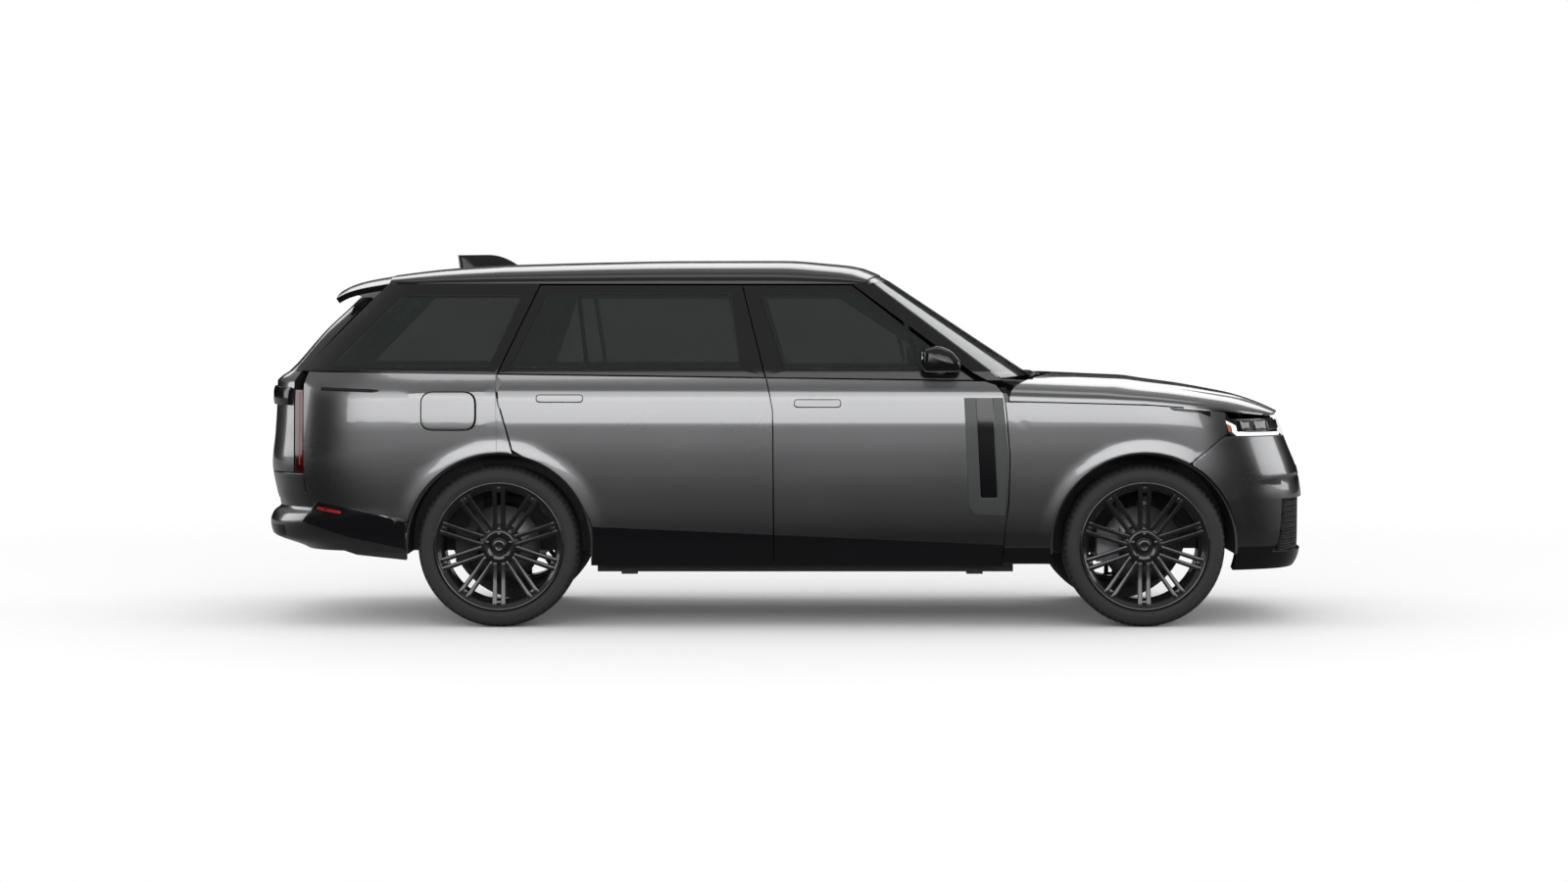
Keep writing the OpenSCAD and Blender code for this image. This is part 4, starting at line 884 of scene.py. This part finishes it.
for side, y in (("left", 1), ("right", -1)):
    skin("headlamp_%s_bowl" % side, 24, len(lamp_levels) - 1, lambda i, j: lamp_point(i, j, 0.022), "body",
         [piano], 0.05, ["headlamps"] if side == "left" else (), y)
    skin("headlamp_%s_lens" % side, 24, len(lamp_levels) - 1, lamp_point, "body", [lamp_lens],
         0.004, (), y)
    heights = (1.026, 1.012, .997, .978, .966)
    strip("headlamp_%s_marker" % side, [(lamp_back(z), z) for z in heights],
          [(lamp_back(z) + .016, z - .002) for z in heights], "body", [amber], y, -0.008, 0.006)
    strip("headlamp_%s_guide" % side,
          [(lamp_back(z) + .022, z - .002) for z in heights] + [(2.232, .947), (2.30, .946), (2.40,
              .9455), (2.47, .9455)],
          [(lamp_back(z) + .044, z - .001) for z in heights] + [(2.246, .966), (2.30, .9625), (2.40,
              .961), (2.47, .961)],
          "body", [glow], y, -0.008, 0.006)
    for n, x in enumerate((2.262, 2.338, 2.412)):
        patch("headlamp_%s_reflector_%d" % (side, n + 1),
              rounded([(x, .975), (x + .058, .975), (x + .052, 1.021), (x - .012, 1.021)], 0.008), "body",
              [reflector], y, -0.014, 0.006, -0.006)
    strip("headlamp_%s_trim" % side, [(1.892, 1.0835), (1.912, 1.0735), (2.05, 1.0585), (2.098, 1.040)],
          [(1.892, bonnet_edge(1.892) - .0075), (1.912, bonnet_edge(1.912) - .0075),
           (2.05, bonnet_edge(2.05) - .0075), (2.098, bonnet_edge(2.098) - .0075)], "body",
           [piano], y,
          0.001, 0.004)

# Rear bumper: a moulded and painted cover, clipped to both quarters, with gloss black side panels
# and a black undertray screwed on below.
rear_heights = spread([.205, .212, .225, .2456, .28, .295, .305, .315, .322, .336], .008)
rear_columns = 56


def tail_at(y, z):
    return (rear_round + (tail_x(z) - rear_round) * taper(min(abs(y) / section(z), .99999), 4.5), y, z)


def tail_sweep(z, end, q, inset=0.0):
    """Point on the tail from one end of a piece to the other as q goes from -1 to 1."""
    angle = abs(q) * math.acos(min(1, ((rear_round - end) / (rear_round - tail_x(z))) ** 2.25))
    x = rear_round + (tail_x(z) - rear_round + inset) * math.cos(angle) ** (1 / 2.25)
    y = (section(z) - inset) * math.sin(angle) ** (1 / 2.25) + flare(x, z)
    return x, math.copysign(y, q), z


def rear_bumper_point(i, j):
    z = rear_heights[j] * roof_height
    arch = math.sqrt(max(0, arch_radius ** 2 - (z - tyre_radius) ** 2))
    end = min(rear_axle - arch, cut_x(quarter_end, z) - 0.009)
    return tail_sweep(z, end, 2 * i / rear_columns - 1)


def rear_black(centre):
    return 2 if centre.x < -2.5 and centre.z < .27 * roof_height else 0


skin("rear_bumper_cover", rear_columns, len(rear_heights) - 1, rear_bumper_point, "body",
     [paint, moulded, piano, moulded], 0.03, ["rear_bumper"], tint=rear_black)
for side, y in (("left", 1), ("right", -1)):
    strip("rear_bumper_%s_panel" % side, [(-2.4107, .520), (-2.18, .447), (-1.893, .385)],
          [(-2.33, .622), (-2.15, .588), (-1.885, .523)], "body", [piano], y, 0.002, 0.005, 6)
    strip("rear_undertray_" + side, [(-2.36, .428), (-2.29, .400), (-2.14, .352), (-1.886, .327)],
          [(-2.36, .440), (-2.29, .430), (-2.14, .400), (-1.886, .395)], "body", [moulded],
          y, -0.02, 0.02,
          3)

# Tail lamps: slim upright lenses of smoked red plastic, sealed and screwed in between the tailgate
# and the quarters. A red reflector and a dark trim strip are clipped on beside them.
lens_red = finish("smoked red lens", (0.012, 0.001, 0.001), (0.03, 0.002, 0.002), (0.08, 0.16), 300,
                  coat_weight=0.6, coat_roughness=0.03)
tail_lamp_levels = spread([.4175, .43, .5, .57, .645], .02)
red_line = finish("red light line", (0.16, 0.004, 0.004), (0.24, 0.006, 0.006), (0.15, 0.25), 200)
for side, y in (("left", 1), ("right", -1)):
    def tail_lamp_point(i, j):
        x, z = blend(along(-.81) - 0.004, along(-.85), i / 8), tail_lamp_levels[j] * roof_height
        return x, side_y(x, z), z

    skin("tail_lamp_%s_lens" % side, 8, len(tail_lamp_levels) - 1, tail_lamp_point, "body",
         [lens_red],
         0.04, ["tail_lamps"] if side == "left" else (), y)
    strip("tail_lamp_%s_line" % side, [(-2.424, .80), (-2.424, 1.16)], [(-2.416, .80), (-2.416, 1.16)],
          "body",
          [red_line], y, 0.0015, 0.004, 1)
    patch("rear_reflector_" + side, [(-2.333, .589), (-2.326, .580), (-2.212, .561), (-2.204, .567),
                                     (-2.210, .575),
                                     (-2.322, .5945)], "body", [red_line], y, 0.003, 0.005)
    strip("quarter_%s_trim" % side, [(-2.309, 1.172), (-2.05, 1.163), (-2.014, 1.168)],
          [(-2.309, 1.189), (-2.05, 1.180), (-2.014, 1.175)], "body", [piano], y, 0.002,
          0.004)

# Side doors: stamped aluminium skins hemmed over inner frames, hinged at their front edges. Paint ends
# at the belt, with a gloss black frame above and black cladding along the sill; cards line the inside.
door_levels = [.166, .195, .224, .247, .2471, .28, .36, .45, .5, .54, .548, .555, .562, .58, .6, .62,
               .636, .644,
               .652, .662, .672]
card = finish("door card leather", (0.02, 0.019, 0.018), (0.04, 0.038, 0.036), (0.45, 0.6), 520, 0.0012,
              True)
door_columns = 34


def sill_line(x):
    return .247 * roof_height - 0.045 * (x - 0.12)


def cladding(centre):
    return 2 if centre.z < sill_line(centre.x) else 0


def rear_door_back(z):
    arch = math.sqrt(max(0, arch_radius ** 2 - (z - tyre_radius) ** 2))
    return max(cut_x(rear_cut, z) + shut, rear_axle + arch if z < tyre_radius + arch_radius else -9)


def door_skin(name, front, back, side, replaced):
    heights = spread(door_levels, .02)

    def point(i, j):
        f = j / (len(heights) - 1)
        z = heights[j] * roof_height
        x = blend(front(z), back(z), i / door_columns)
        z += (sill_line(x) - sill_line(0.12)) * max(0, 1 - abs(z - sill_line(0.12)) / 0.14)
        lift = (belt(x) - shut - heights[-1] * roof_height) * f ** 12
        return x, side_y(x, z + lift), z + lift

    return skin(name + "_skin", door_columns, len(heights) - 1, point, name,
                [paint, card, piano, card], 0.058, replaced, side, tint=cladding)


front_window = corners_of([(.441, .703), (.403, .905), (.549, .905), (.706, .703)])
rear_window = corners_of([(.019, .707), (.0715, .905), (.3585, .905), (.373, .707)])
top = .9295 * roof_height


def on_belt(x):
    return x, belt(x) + shut


front_frame = [on_belt(along(.413) + shut), (along(.377) + shut, top), (along(.547), top),
               on_belt(along(.735))]
rear_frame = [on_belt(along(-.005) + shut), (along(.0615) + shut, top), (along(.377) - shut, top),
              on_belt(along(.413) - shut)]


def pane(name, window, body, side, material, replaced):
    rows, columns = 10, 16

    def point(i, j):
        low = [blend(window[0][k], window[3][k], i / columns) for k in (0, 1)]
        high = [blend(window[1][k], window[2][k], i / columns) for k in (0, 1)]
        x, z = (blend(low[k], high[k], j / rows) for k in (0, 1))
        return x, side_y(x, z) - 0.002, z

    skin(name, columns, rows, point, body, [material], 0.005, replaced, side)


for side, y in (("left", 1), ("right", -1)):
    door_skin("door_front_" + side, lambda z: cut_x(front_cut, z), lambda z: cut_x(split_cut, z) + shut, y,
              ["door_front_" + side])
    door_skin("door_rear_" + side, lambda z: cut_x(split_cut, z) - shut, rear_door_back, y,
              ["door_rear_" + side])
    frame_ring("door_front_%s_frame" % side, front_window, front_frame, "door_front_" + side, y, 0.05)
    frame_ring("door_rear_%s_frame" % side, rear_window, rear_frame, "door_rear_" + side, y, 0.05)
    pane("glass_front_%s_pane" % side, front_window, "door_front_" + side, y, privacy_glass,
         ["glass_front_" + side])
    pane("glass_rear_%s_pane" % side, rear_window, "door_rear_" + side, y, privacy_glass,
         ["glass_rear_" + side])
    pane("quarter_%s_pane" % side, quarter_window, "body", y, privacy_glass,
         ["quarter_glass"] if side == "left" else ())
satin = finish("satin dark trim", (0.045, 0.05, 0.048), (0.06, 0.065, 0.063), (0.3, 0.4), 900, metallic=0.5)
handles = {"front": ((.037, 1.090), (.267, 1.127)), "rear": ((-1.236, 1.115), (-1.0065, 1.1505))}
outer_line = [(.876, 1.136), (.8985, .63), (.907, .585), (.934, .5585), (1.079, .5515), (1.087, .62),
              (1.0935, .84),
              (1.081, 1.0), (1.0675, 1.136)]
inner_line = [(.9345, 1.136), (.9580, .66), (.9588, .649), (.966, .643), (1.036, .643), (1.0405, .65),
              (1.034, .84),
              (1.025, 1.0), (1.0166, 1.136)]
for side, y in (("left", 1), ("right", -1)):
    for end, ((x0, z0), (x1, z1)) in handles.items():
        door = "door_%s_%s" % (end, side)
        for part, grow, lift, coat in (("recess", 0.003, 0.0008, moulded), ("handle", 0, 0.0035, paint)):
            box = [(x0 - grow, z0 - grow), (x1 + grow, z0 - grow), (x1 + grow, z1 + grow), (x0 - grow,
                z1 + grow)]
            patch("%s_%s" % (door, part), rounded(box, 0.017 + grow), door,
                  [coat], y, lift, 0.004 + lift)
    door = "door_front_" + side
    strip(door + "_vent_frame", outer_line, inner_line, door, [satin], y, 0.0035, 0.006, 3)
    strip(door + "_vent", [(.934, 1.136), (.958, .642)], [(1.017, 1.136), (1.041, .642)], door,
          [piano],
          y, 0.001, 0.004, 4)
    strip(door + "_divider", [(.572, 1.545), (.634, 1.285)], [(.592, 1.548), (.654, 1.285)], door,
          [piano], y, 0.0005, 0.008)
    door = "door_rear_" + side
    strip(door + "_divider", [(-1.055, 1.692), (-.998, 1.271)], [(-1.031, 1.692), (-.974, 1.271)], door,
          [piano], y, 0.0005, 0.008)

# Mirrors: gloss black moulded heads on short feet, bolted to the front door belts. Each carries a
# silvered glass at its back.
silver = finish("mirror silver", (0.55, 0.56, 0.57), (0.7, 0.7, 0.71), (0.04, 0.08), 40, metallic=1.0)
head_outline = rounded([(.676, 1.264), (.6605, 1.300), (.668, 1.380), (.742, 1.3955), (.808, 1.372),
                        (.862, 1.310),
                        (.852, 1.266)], 0.022)
for side, y in (("left", 1), ("right", -1)):
    rings = []
    for n in range(17):
        t = n / 8 - 1
        scale = max(0.02, 1 - abs(t) ** 3.2) ** 0.42
        rings.append([(.762 + (x - .762) * scale, y * (1.0545 + 0.0625 * t), 1.318 + (z - 1.318) * scale)
                      for x, z in head_outline])
    head = piece("mirror_%s_head" % side, lofted(rings), "door_front_" + side, [piano],
                 ["mirror_" + side])
    dome = head.modifiers.new("round", "SUBSURF")
    dome.levels = dome.render_levels = 1
    rings = []
    for n in range(9):
        t = n / 8
        middle = Vector((.752 + .01 * t, y * blend(.958, 1.04, t), blend(1.262, 1.278, t ** .7)))
        rings.append([(middle.x + blend(.042, .03, t) * math.cos(a), middle.y,
                       middle.z + 0.011 * math.sin(a))
                      for a in [math.pi * m / 8 for m in range(16)]])
    piece("mirror_%s_foot" % side, lofted(rings), "door_front_" + side, [piano])
    bm = bmesh.new()
    bmesh.ops.create_grid(bm, x_segments=8, y_segments=8, size=0.5)
    for v in bm.verts:
        u, w = v.co.x * 2, v.co.y * 2
        v.co = (.664 - 0.003 * (1 - u * u) * (1 - w * w),
                y * (1.055 + 0.045 * u * math.sqrt(1 - w * w / 2.6)),
                1.328 + 0.04 * w * math.sqrt(1 - u * u / 2.6))
    glass = piece("mirror_%s_glass" % side, bm, "door_front_" + side, [silver])
    glass.modifiers.new("sheet", "SOLIDIFY").thickness = 0.003

# Upper tailgate: a moulded and bonded shell hinged at the roof, painted below and gloss black round
# the bonded rear window. A spoiler tops it and a gloss black bar crosses it.
gate_levels = spread([.4195, .47, .52, .57, .62, .65, .668, .68, .693, .705, .71, .75, .807, .86, .88,
                      .897], .016)
gate_edge = [(.34, -.855), (.668, -.855), (.693, -.83), (.897, -.545)]
gate_window = [(.71, .55), (.8, .55), (.88, .5)]
gate_columns, window_columns = 48, 16


def gate_point(i, j):
    z = gate_levels[j] * roof_height
    q = 2 * i / gate_columns - 1
    inner = 2 * window_columns / gate_columns
    half_pane = lookup(gate_levels[j], gate_window)
    if abs(q) <= inner + 1e-6:
        return tail_at(half_pane * q / inner, z)
    end = cut_x(gate_edge, z)
    end_angle = math.acos(min(1, ((rear_round - end) / (rear_round - tail_x(z))) ** 2.25))
    start_angle = math.asin((half_pane / section(z)) ** 2.25)
    angle = blend(start_angle, end_angle, (abs(q) - inner) / (1 - inner))
    return (rear_round + (tail_x(z) - rear_round) * math.cos(angle) ** (1 / 2.25),
            math.copysign(section(z) * math.sin(angle) ** (1 / 2.25), q), z)


def in_rear_window(centre):
    k = centre.z / roof_height
    return .71 < k < .88 and abs(centre.y) < lookup(k, gate_window)


def gate_black(centre):
    return 2 if centre.z > .695 * roof_height else 0


skin("tailgate_upper_skin", gate_columns, len(gate_levels) - 1, gate_point, "tailgate_upper",
     [paint, moulded, piano, moulded], 0.045, ["tailgate_upper"], drop=in_rear_window, tint=gate_black)
pane_levels = spread([.71, .8, .88], .017)


def rear_pane_point(i, j):
    z = pane_levels[j] * roof_height
    x, y, z = tail_at(lookup(pane_levels[j], gate_window) * (2 * i / 20 - 1), z)
    return x + 0.003, y, z


skin("tailgate_pane", 20, len(pane_levels) - 1, rear_pane_point, "tailgate_upper",
     [privacy_glass], 0.005,
     ["tailgate_glass"])
spoiler_top = [(-.703, .918), (-.69, .923), (-.65, .935), (-.58, .947), (-.51, .955), (-.472, .9592)]
spoiler_half = [(-.703, .6), (-.6, .655), (-.472, .69)]
spoiler_stations = spread([-.703, -.69, -.65, -.58, -.51, -.472], .012)


def spoiler_point(i, j):
    s = spoiler_stations[i]
    v = 2 * j / 40 - 1
    return (along(s), v * lookup(s, spoiler_half),
            curve(s, spoiler_top) * roof_height - 0.046 * abs(v) ** 3 + 0.001)


skin("tailgate_spoiler", len(spoiler_stations) - 1, 40, spoiler_point, "tailgate_upper",
     [piano], 0.03)

def bar_point(i, j):
    z = blend(.602, .652, j / 4) * roof_height
    q = i / 20 - 1
    angle = abs(q) * math.asin((.82 / section(z)) ** 2.25)
    stand = 0.017 - 0.004 * (j in (0, 4))
    x = rear_round + (tail_x(z) - rear_round - stand) * math.cos(angle) ** (1 / 2.25)
    return x, math.copysign((section(z) + stand) * math.sin(angle) ** (1 / 2.25), q), z


skin("tailgate_bar", 40, 4, bar_point, "tailgate_upper", [piano], 0.03)

# Lower tailgate: a short stamped and painted panel below the split line, hinged at its foot between
# two painted corners that stay fixed to the bumper.
drop_levels = spread([.345, .36, .395, .4165], .008)
drop_half = 0.6


def drop_point(i, j):
    return tail_at(drop_half * (i / 20 - 1), drop_levels[j] * roof_height)


skin("tailgate_lower_skin", 40, len(drop_levels) - 1, drop_point, "tailgate_lower", [paint,
    moulded], 0.028,
     ["tailgate_lower"])
corner_levels = spread([.325, .345, .37, .395, .4165], .008)
for side, y in (("left", 1), ("right", -1)):
    def corner_point(i, j):
        z = corner_levels[j] * roof_height
        end = cut_x(quarter_end, z) - 0.006
        end_angle = math.acos(min(1, ((rear_round - end) / (rear_round - tail_x(z))) ** 2.25))
        start_angle = math.asin(((drop_half + 2 * shut) / section(z)) ** 2.25)
        angle = blend(start_angle, end_angle, i / 16)
        return (rear_round + (tail_x(z) - rear_round) * math.cos(angle) ** (1 / 2.25),
                section(z) * math.sin(angle) ** (1 / 2.25), z)

    skin("tail_corner_%s_skin" % side, 16, len(corner_levels) - 1, corner_point, "body", [paint,
        moulded],
         0.045, side=y)

# Fuel flap: a small stamped lid, painted with the body, that closes the filler's opening in the
# right-hand quarter. It is hinged at its front edge.
patch("fuel_flap_skin", flap_outline, "fuel_flap", [paint], -1, 0, 0.005, replaced=["fuel_flap"])

# Seats: foam on steel frames with sewn leather covers, each in cushions between two bolsters. They
# stand on moulded plinths bolted to the floor; the bench behind them is split in three.
hide = finish("seat leather", (0.03, 0.029, 0.028), (0.06, 0.058, 0.055), (0.42, 0.58), 480, 0.0012, True)


def cushion(size):
    """A sewn cover blown up by its foam: a cloth block under pressure, crowned between its seams."""
    bm = bmesh.new()
    bmesh.ops.create_cube(bm, size=1)
    bmesh.ops.scale(bm, verts=bm.verts, vec=[length - 0.024 for length in size])
    for axis in range(3):
        count = max(3, round(size[axis] / 0.035))
        for n in range(1, count):
            place, normal = [0, 0, 0], [0, 0, 0]
            place[axis], normal[axis] = (size[axis] - 0.024) * (n / count - 0.5), 1
            bmesh.ops.bisect_plane(bm, geom=bm.verts[:] + bm.edges[:] + bm.faces[:], plane_co=place,
                                   plane_no=normal)
    mesh = bpy.data.meshes.new("cover")
    bm.to_mesh(mesh)
    bm.free()
    made = bpy.data.objects.new("cover", mesh)
    bpy.context.collection.objects.link(made)
    cloth = made.modifiers.new("cover", "CLOTH")
    cloth.settings.quality = 4
    cloth.settings.use_pressure = True
    cloth.settings.uniform_pressure_force = 4
    cloth.settings.effector_weights.gravity = 0
    for step in range(1, 13):
        bpy.context.scene.frame_set(step)
    blown = made.evaluated_get(bpy.context.evaluated_depsgraph_get()).data
    places = []
    for before, after in zip(mesh.vertices, blown.vertices):
        move = after.co - before.co
        places.append(before.co + move * min(1, 0.016 / max(move.length, 1e-6)))
    bpy.context.scene.frame_set(1)
    bm = bmesh.new()
    bm.from_mesh(mesh)
    for v, place in zip(bm.verts, places):
        v.co = place
    bpy.data.objects.remove(made)
    bpy.data.meshes.remove(mesh)
    return bm


def pads(name, size, lean, places, replaced=()):
    """Sets copies of one cushion in the cabin, leaning back by an angle in degrees."""
    first = cushion(size)
    for n, place in enumerate(places):
        bm = first.copy()
        bmesh.ops.rotate(bm, verts=bm.verts, cent=(0, 0, 0), matrix=Matrix.Rotation(math.radians(-lean),
            3, "Y"))
        bmesh.ops.translate(bm, verts=bm.verts, vec=place)
        made = piece("%s_%d" % (name, n + 1), bm, "body", [hide], replaced if n == 0 else ())
        dome = made.modifiers.new("round", "SUBSURF")
        dome.levels = dome.render_levels = 1
    first.free()


def plinth(name, low, high):
    """A moulded foot, narrower below, with rounded edges."""
    bm = bmesh.new()
    bmesh.ops.create_cube(bm, size=1)
    for v in bm.verts:
        inset = 0.03 if v.co.z < 0 else 0
        v.co = [blend(low[k], high[k], v.co[k] + 0.5) - (inset if k < 2 else 0) * (1 if v.co[k] > 0 else -1)
                for k in range(3)]
    bmesh.ops.bevel(bm, geom=bm.edges[:], offset=0.012, offset_type="OFFSET", segments=3, profile=0.5,
                    affect="EDGES", material=-1)
    piece(name, bm, "body", [moulded])


seats = (-.38, .38)
pads("seat_base", (.60, .33, .115), 4, [(.16, y, .522) for y in seats], ["front_seats"])
pads("seat_base_bolster", (.56, .09, .125), 4, [(.16, y + d, .528) for y in seats for d in (-.208, .208)])
pads("seat_back", (.105, .33, .58), 27.4, [(-.272, y, .815) for y in seats])
pads("seat_back_bolster", (.115, .09, .52), 27.4, [(-.268, y + d, .812) for y in seats for d in (-.208,
    .208)])
pads("seat_headrest", (.075, .26, .125), 27, [(-.376, y, 1.19) for y in seats])
bench = (-.41, 0, .41)
pads("bench_base", (.45, .40, .12), 3, [(-.70, y, .570) for y in bench], ["rear_bench"])
pads("bench_back", (.125, .40, .50), 29.1, [(-1.165, y, .882) for y in bench])
pads("bench_headrest", (.06, .26, .105), 27, [(-1.262, y, 1.198) for y in bench])
for side, y in (("left", .38), ("right", -.38)):
    plinth("seat_plinth_" + side, (-.12, y - .22, .303), (.44, y + .22, .47))
plinth("bench_plinth", (-.885, -.60, .303), (-.49, .60, .515))

# Dashboard: a foamed and skinned moulding across the cabin with two screens, and the steering wheel on
# its column in stitched leather.
screen_dark = finish("display glass", (0.004, 0.005, 0.006), (0.008, 0.009, 0.01), (0.05, 0.1), 80)
dash_outline = rounded([(1.088, .822), (1.088, 1.126), (.941, 1.143), (.785, 1.099), (.752, 1.001), (.877,
    .786)], 0.03)
rings = []
for n in range(25):
    y = blend(-.715, .715, n / 24)
    hood = 0.012 * math.exp(-((y - .38) / .16) ** 2)
    rings.append([(x, y, z + (hood - 0.012 if z > 1.08 else 0)) for x, z in dash_outline])
pad = piece("dashboard_pad", lofted(rings), "body", [card], ["dashboard"])
pad.modifiers.new("shade", "WEIGHTED_NORMAL")
for name, y, half in (("driver_display", .38, .14), ("centre_display", 0, .15)):
    bm = bmesh.new()
    bmesh.ops.create_cube(bm, size=1)
    for v in bm.verts:
        v.co = (.752 + .012 * v.co.x + .02 * (v.co.z + .5), y + 2 * half * v.co.y, 1.05 + .115 * v.co.z)
    bmesh.ops.bevel(bm, geom=bm.edges[:], offset=0.004, offset_type="OFFSET", segments=2, profile=0.5,
                    affect="EDGES",
                    material=-1)
    piece(name, bm, "body", [screen_dark])
dress("steering_wheel", card)
plinth("centre_console", (-.1, -.11, .303), (.72, .11, .66))


# Studio: a pale floor that fades to white, long soft boxes beside and above the vehicle, a shaded
# cloth behind them that only reflections see, and the camera level with the doors.
scene = bpy.context.scene
scene.view_settings.view_transform = "Standard"


def stage_piece(name, bm, material):
    mesh = bpy.data.meshes.new(name)
    bm.to_mesh(mesh)
    bm.free()
    mesh.materials.append(material)
    made = bpy.data.objects.new(name, mesh)
    bpy.context.collection.objects.link(made)
    return made


pale = bpy.data.materials.new("pale floor")
pale.use_nodes = True
tree = pale.node_tree
base = Sock(tree)
shader = tree.nodes["Principled BSDF"]
shader.inputs["Base Color"].default_value = (0.9, 0.9, 0.9, 1)
shader.inputs["Roughness"].default_value = 0.9
place = base.node("TexCoord", out=3)
away = base.node("VectorMath", {"operation": "LENGTH"}, {0: place}, 1)
fade = base.node("MapRange", {}, {"Value": away, "From Min": 3.5, "From Max": 9.0})
white = base.node("Emission", {}, {"Color": (1, 1, 1, 1), "Strength": 1.0})
mixed = base.node("MixShader", {}, {0: fade, 1: Sock(tree, shader.outputs[0]), 2: white})
tree.links.new(mixed.out, tree.nodes["Material Output"].inputs["Surface"])
bm = bmesh.new()
bmesh.ops.create_grid(bm, x_segments=1, y_segments=1, size=60)
bmesh.ops.translate(bm, verts=bm.verts, vec=(0, 0, -0.001))
stage_piece("studio_floor", bm, pale)

cloth = bpy.data.materials.new("studio cloth")
cloth.use_nodes = True
tree = cloth.node_tree
base = Sock(tree)
place = base.node("TexCoord", out=3)
across = base.node("SeparateXYZ", {}, {0: place}, 1)
height = base.node("SeparateXYZ", {}, {0: place}, 2)
sky = base.node("MapRange", {}, {"Value": height, "From Min": 6.0, "From Max": 26.0, "To Max": 0.42})
under = base.node("MapRange", {}, {"Value": height, "From Min": 0.02, "From Max": 0.01})
ground = (base.node("MapRange", {}, {"Value": across, "From Min": -2.0, "From Max": 2.0, "To Max": 0.26})
          + base.node("MapRange", {}, {"Value": across, "From Min": -8.0, "From Max": -24.0,
                                       "To Max": 0.22}))
lit = base.node("Emission", {}, {"Color": (1, 1, 1, 1), "Strength": sky + under * ground})
tree.links.new(lit.out, tree.nodes["Material Output"].inputs["Surface"])
bm = bmesh.new()
bmesh.ops.create_uvsphere(bm, u_segments=48, v_segments=24, radius=40)
bmesh.ops.bisect_plane(bm, geom=bm.verts[:] + bm.edges[:] + bm.faces[:], plane_co=(0, 0, 0.0005),
                       plane_no=(0, 0, 1), clear_inner=True)
rim_edges = [e for e in bm.edges if e.is_boundary]
bmesh.ops.holes_fill(bm, edges=rim_edges)
tent = stage_piece("studio_cloth", bm, cloth)
tent.visible_camera = False
tent.visible_diffuse = False
tent.visible_transmission = False
tent.visible_shadow = False

world = bpy.data.worlds.new("studio")
scene.world = world
world.use_nodes = True
tree = world.node_tree
rays = tree.nodes.new("ShaderNodeLightPath")
seen = (Sock(tree, rays.outputs["Is Camera Ray"]) + Sock(tree, rays.outputs["Is Glossy Ray"])
        + Sock(tree, rays.outputs["Is Transmission Ray"])).sum("MINIMUM", 1.0)
tree.links.new((seen * 0.25 + 0.75).out, tree.nodes["Background"].inputs["Strength"])
tree.nodes["Background"].inputs["Color"].default_value = (1, 1, 1, 1)


def soft_box(name, place, aim, size, radiance):
    data = bpy.data.lights.new(name, "AREA")
    data.shape = "RECTANGLE"
    data.size, data.size_y = size
    data.energy = math.pi * radiance * size[0] * size[1]
    lamp = bpy.data.objects.new(name, data)
    bpy.context.collection.objects.link(lamp)
    lamp.location = place
    lamp.rotation_euler = (Vector(aim) - Vector(place)).to_track_quat("-Z", "Y").to_euler()
    lamp.visible_camera = False


soft_box("box over the roof", (0, 0, 7), (0, 0, 0), (9, 3), 1.0)
soft_box("box along the near side", (0, -13, 2.9), (0, 0, 2.9), (17, 2.2), 4.6)
soft_box("box above it", (0, -13, 5.8), (0, 0, 5.8), (17, 3.6), 2.5)
soft_box("box along the far side", (0, 13, 6.4), (0, 0, 4.6), (17, 4.0), 1.6)
for x in (-14, 14):
    soft_box("box at the end", (x, 0, 4.0), (0, 0, 3.0), (11, 6), 2.6)

view = bpy.data.cameras.new("photo view")
view.lens = 83.8
view.sensor_width = 36
camera = bpy.data.objects.new("photo view", view)
bpy.context.collection.objects.link(camera)
camera.location = (-0.013, -19, 1.6)
camera.rotation_euler = (Vector((-0.013, 0, 0.886)) - camera.location).to_track_quat("-Z", "Y").to_euler()
scene.camera = camera
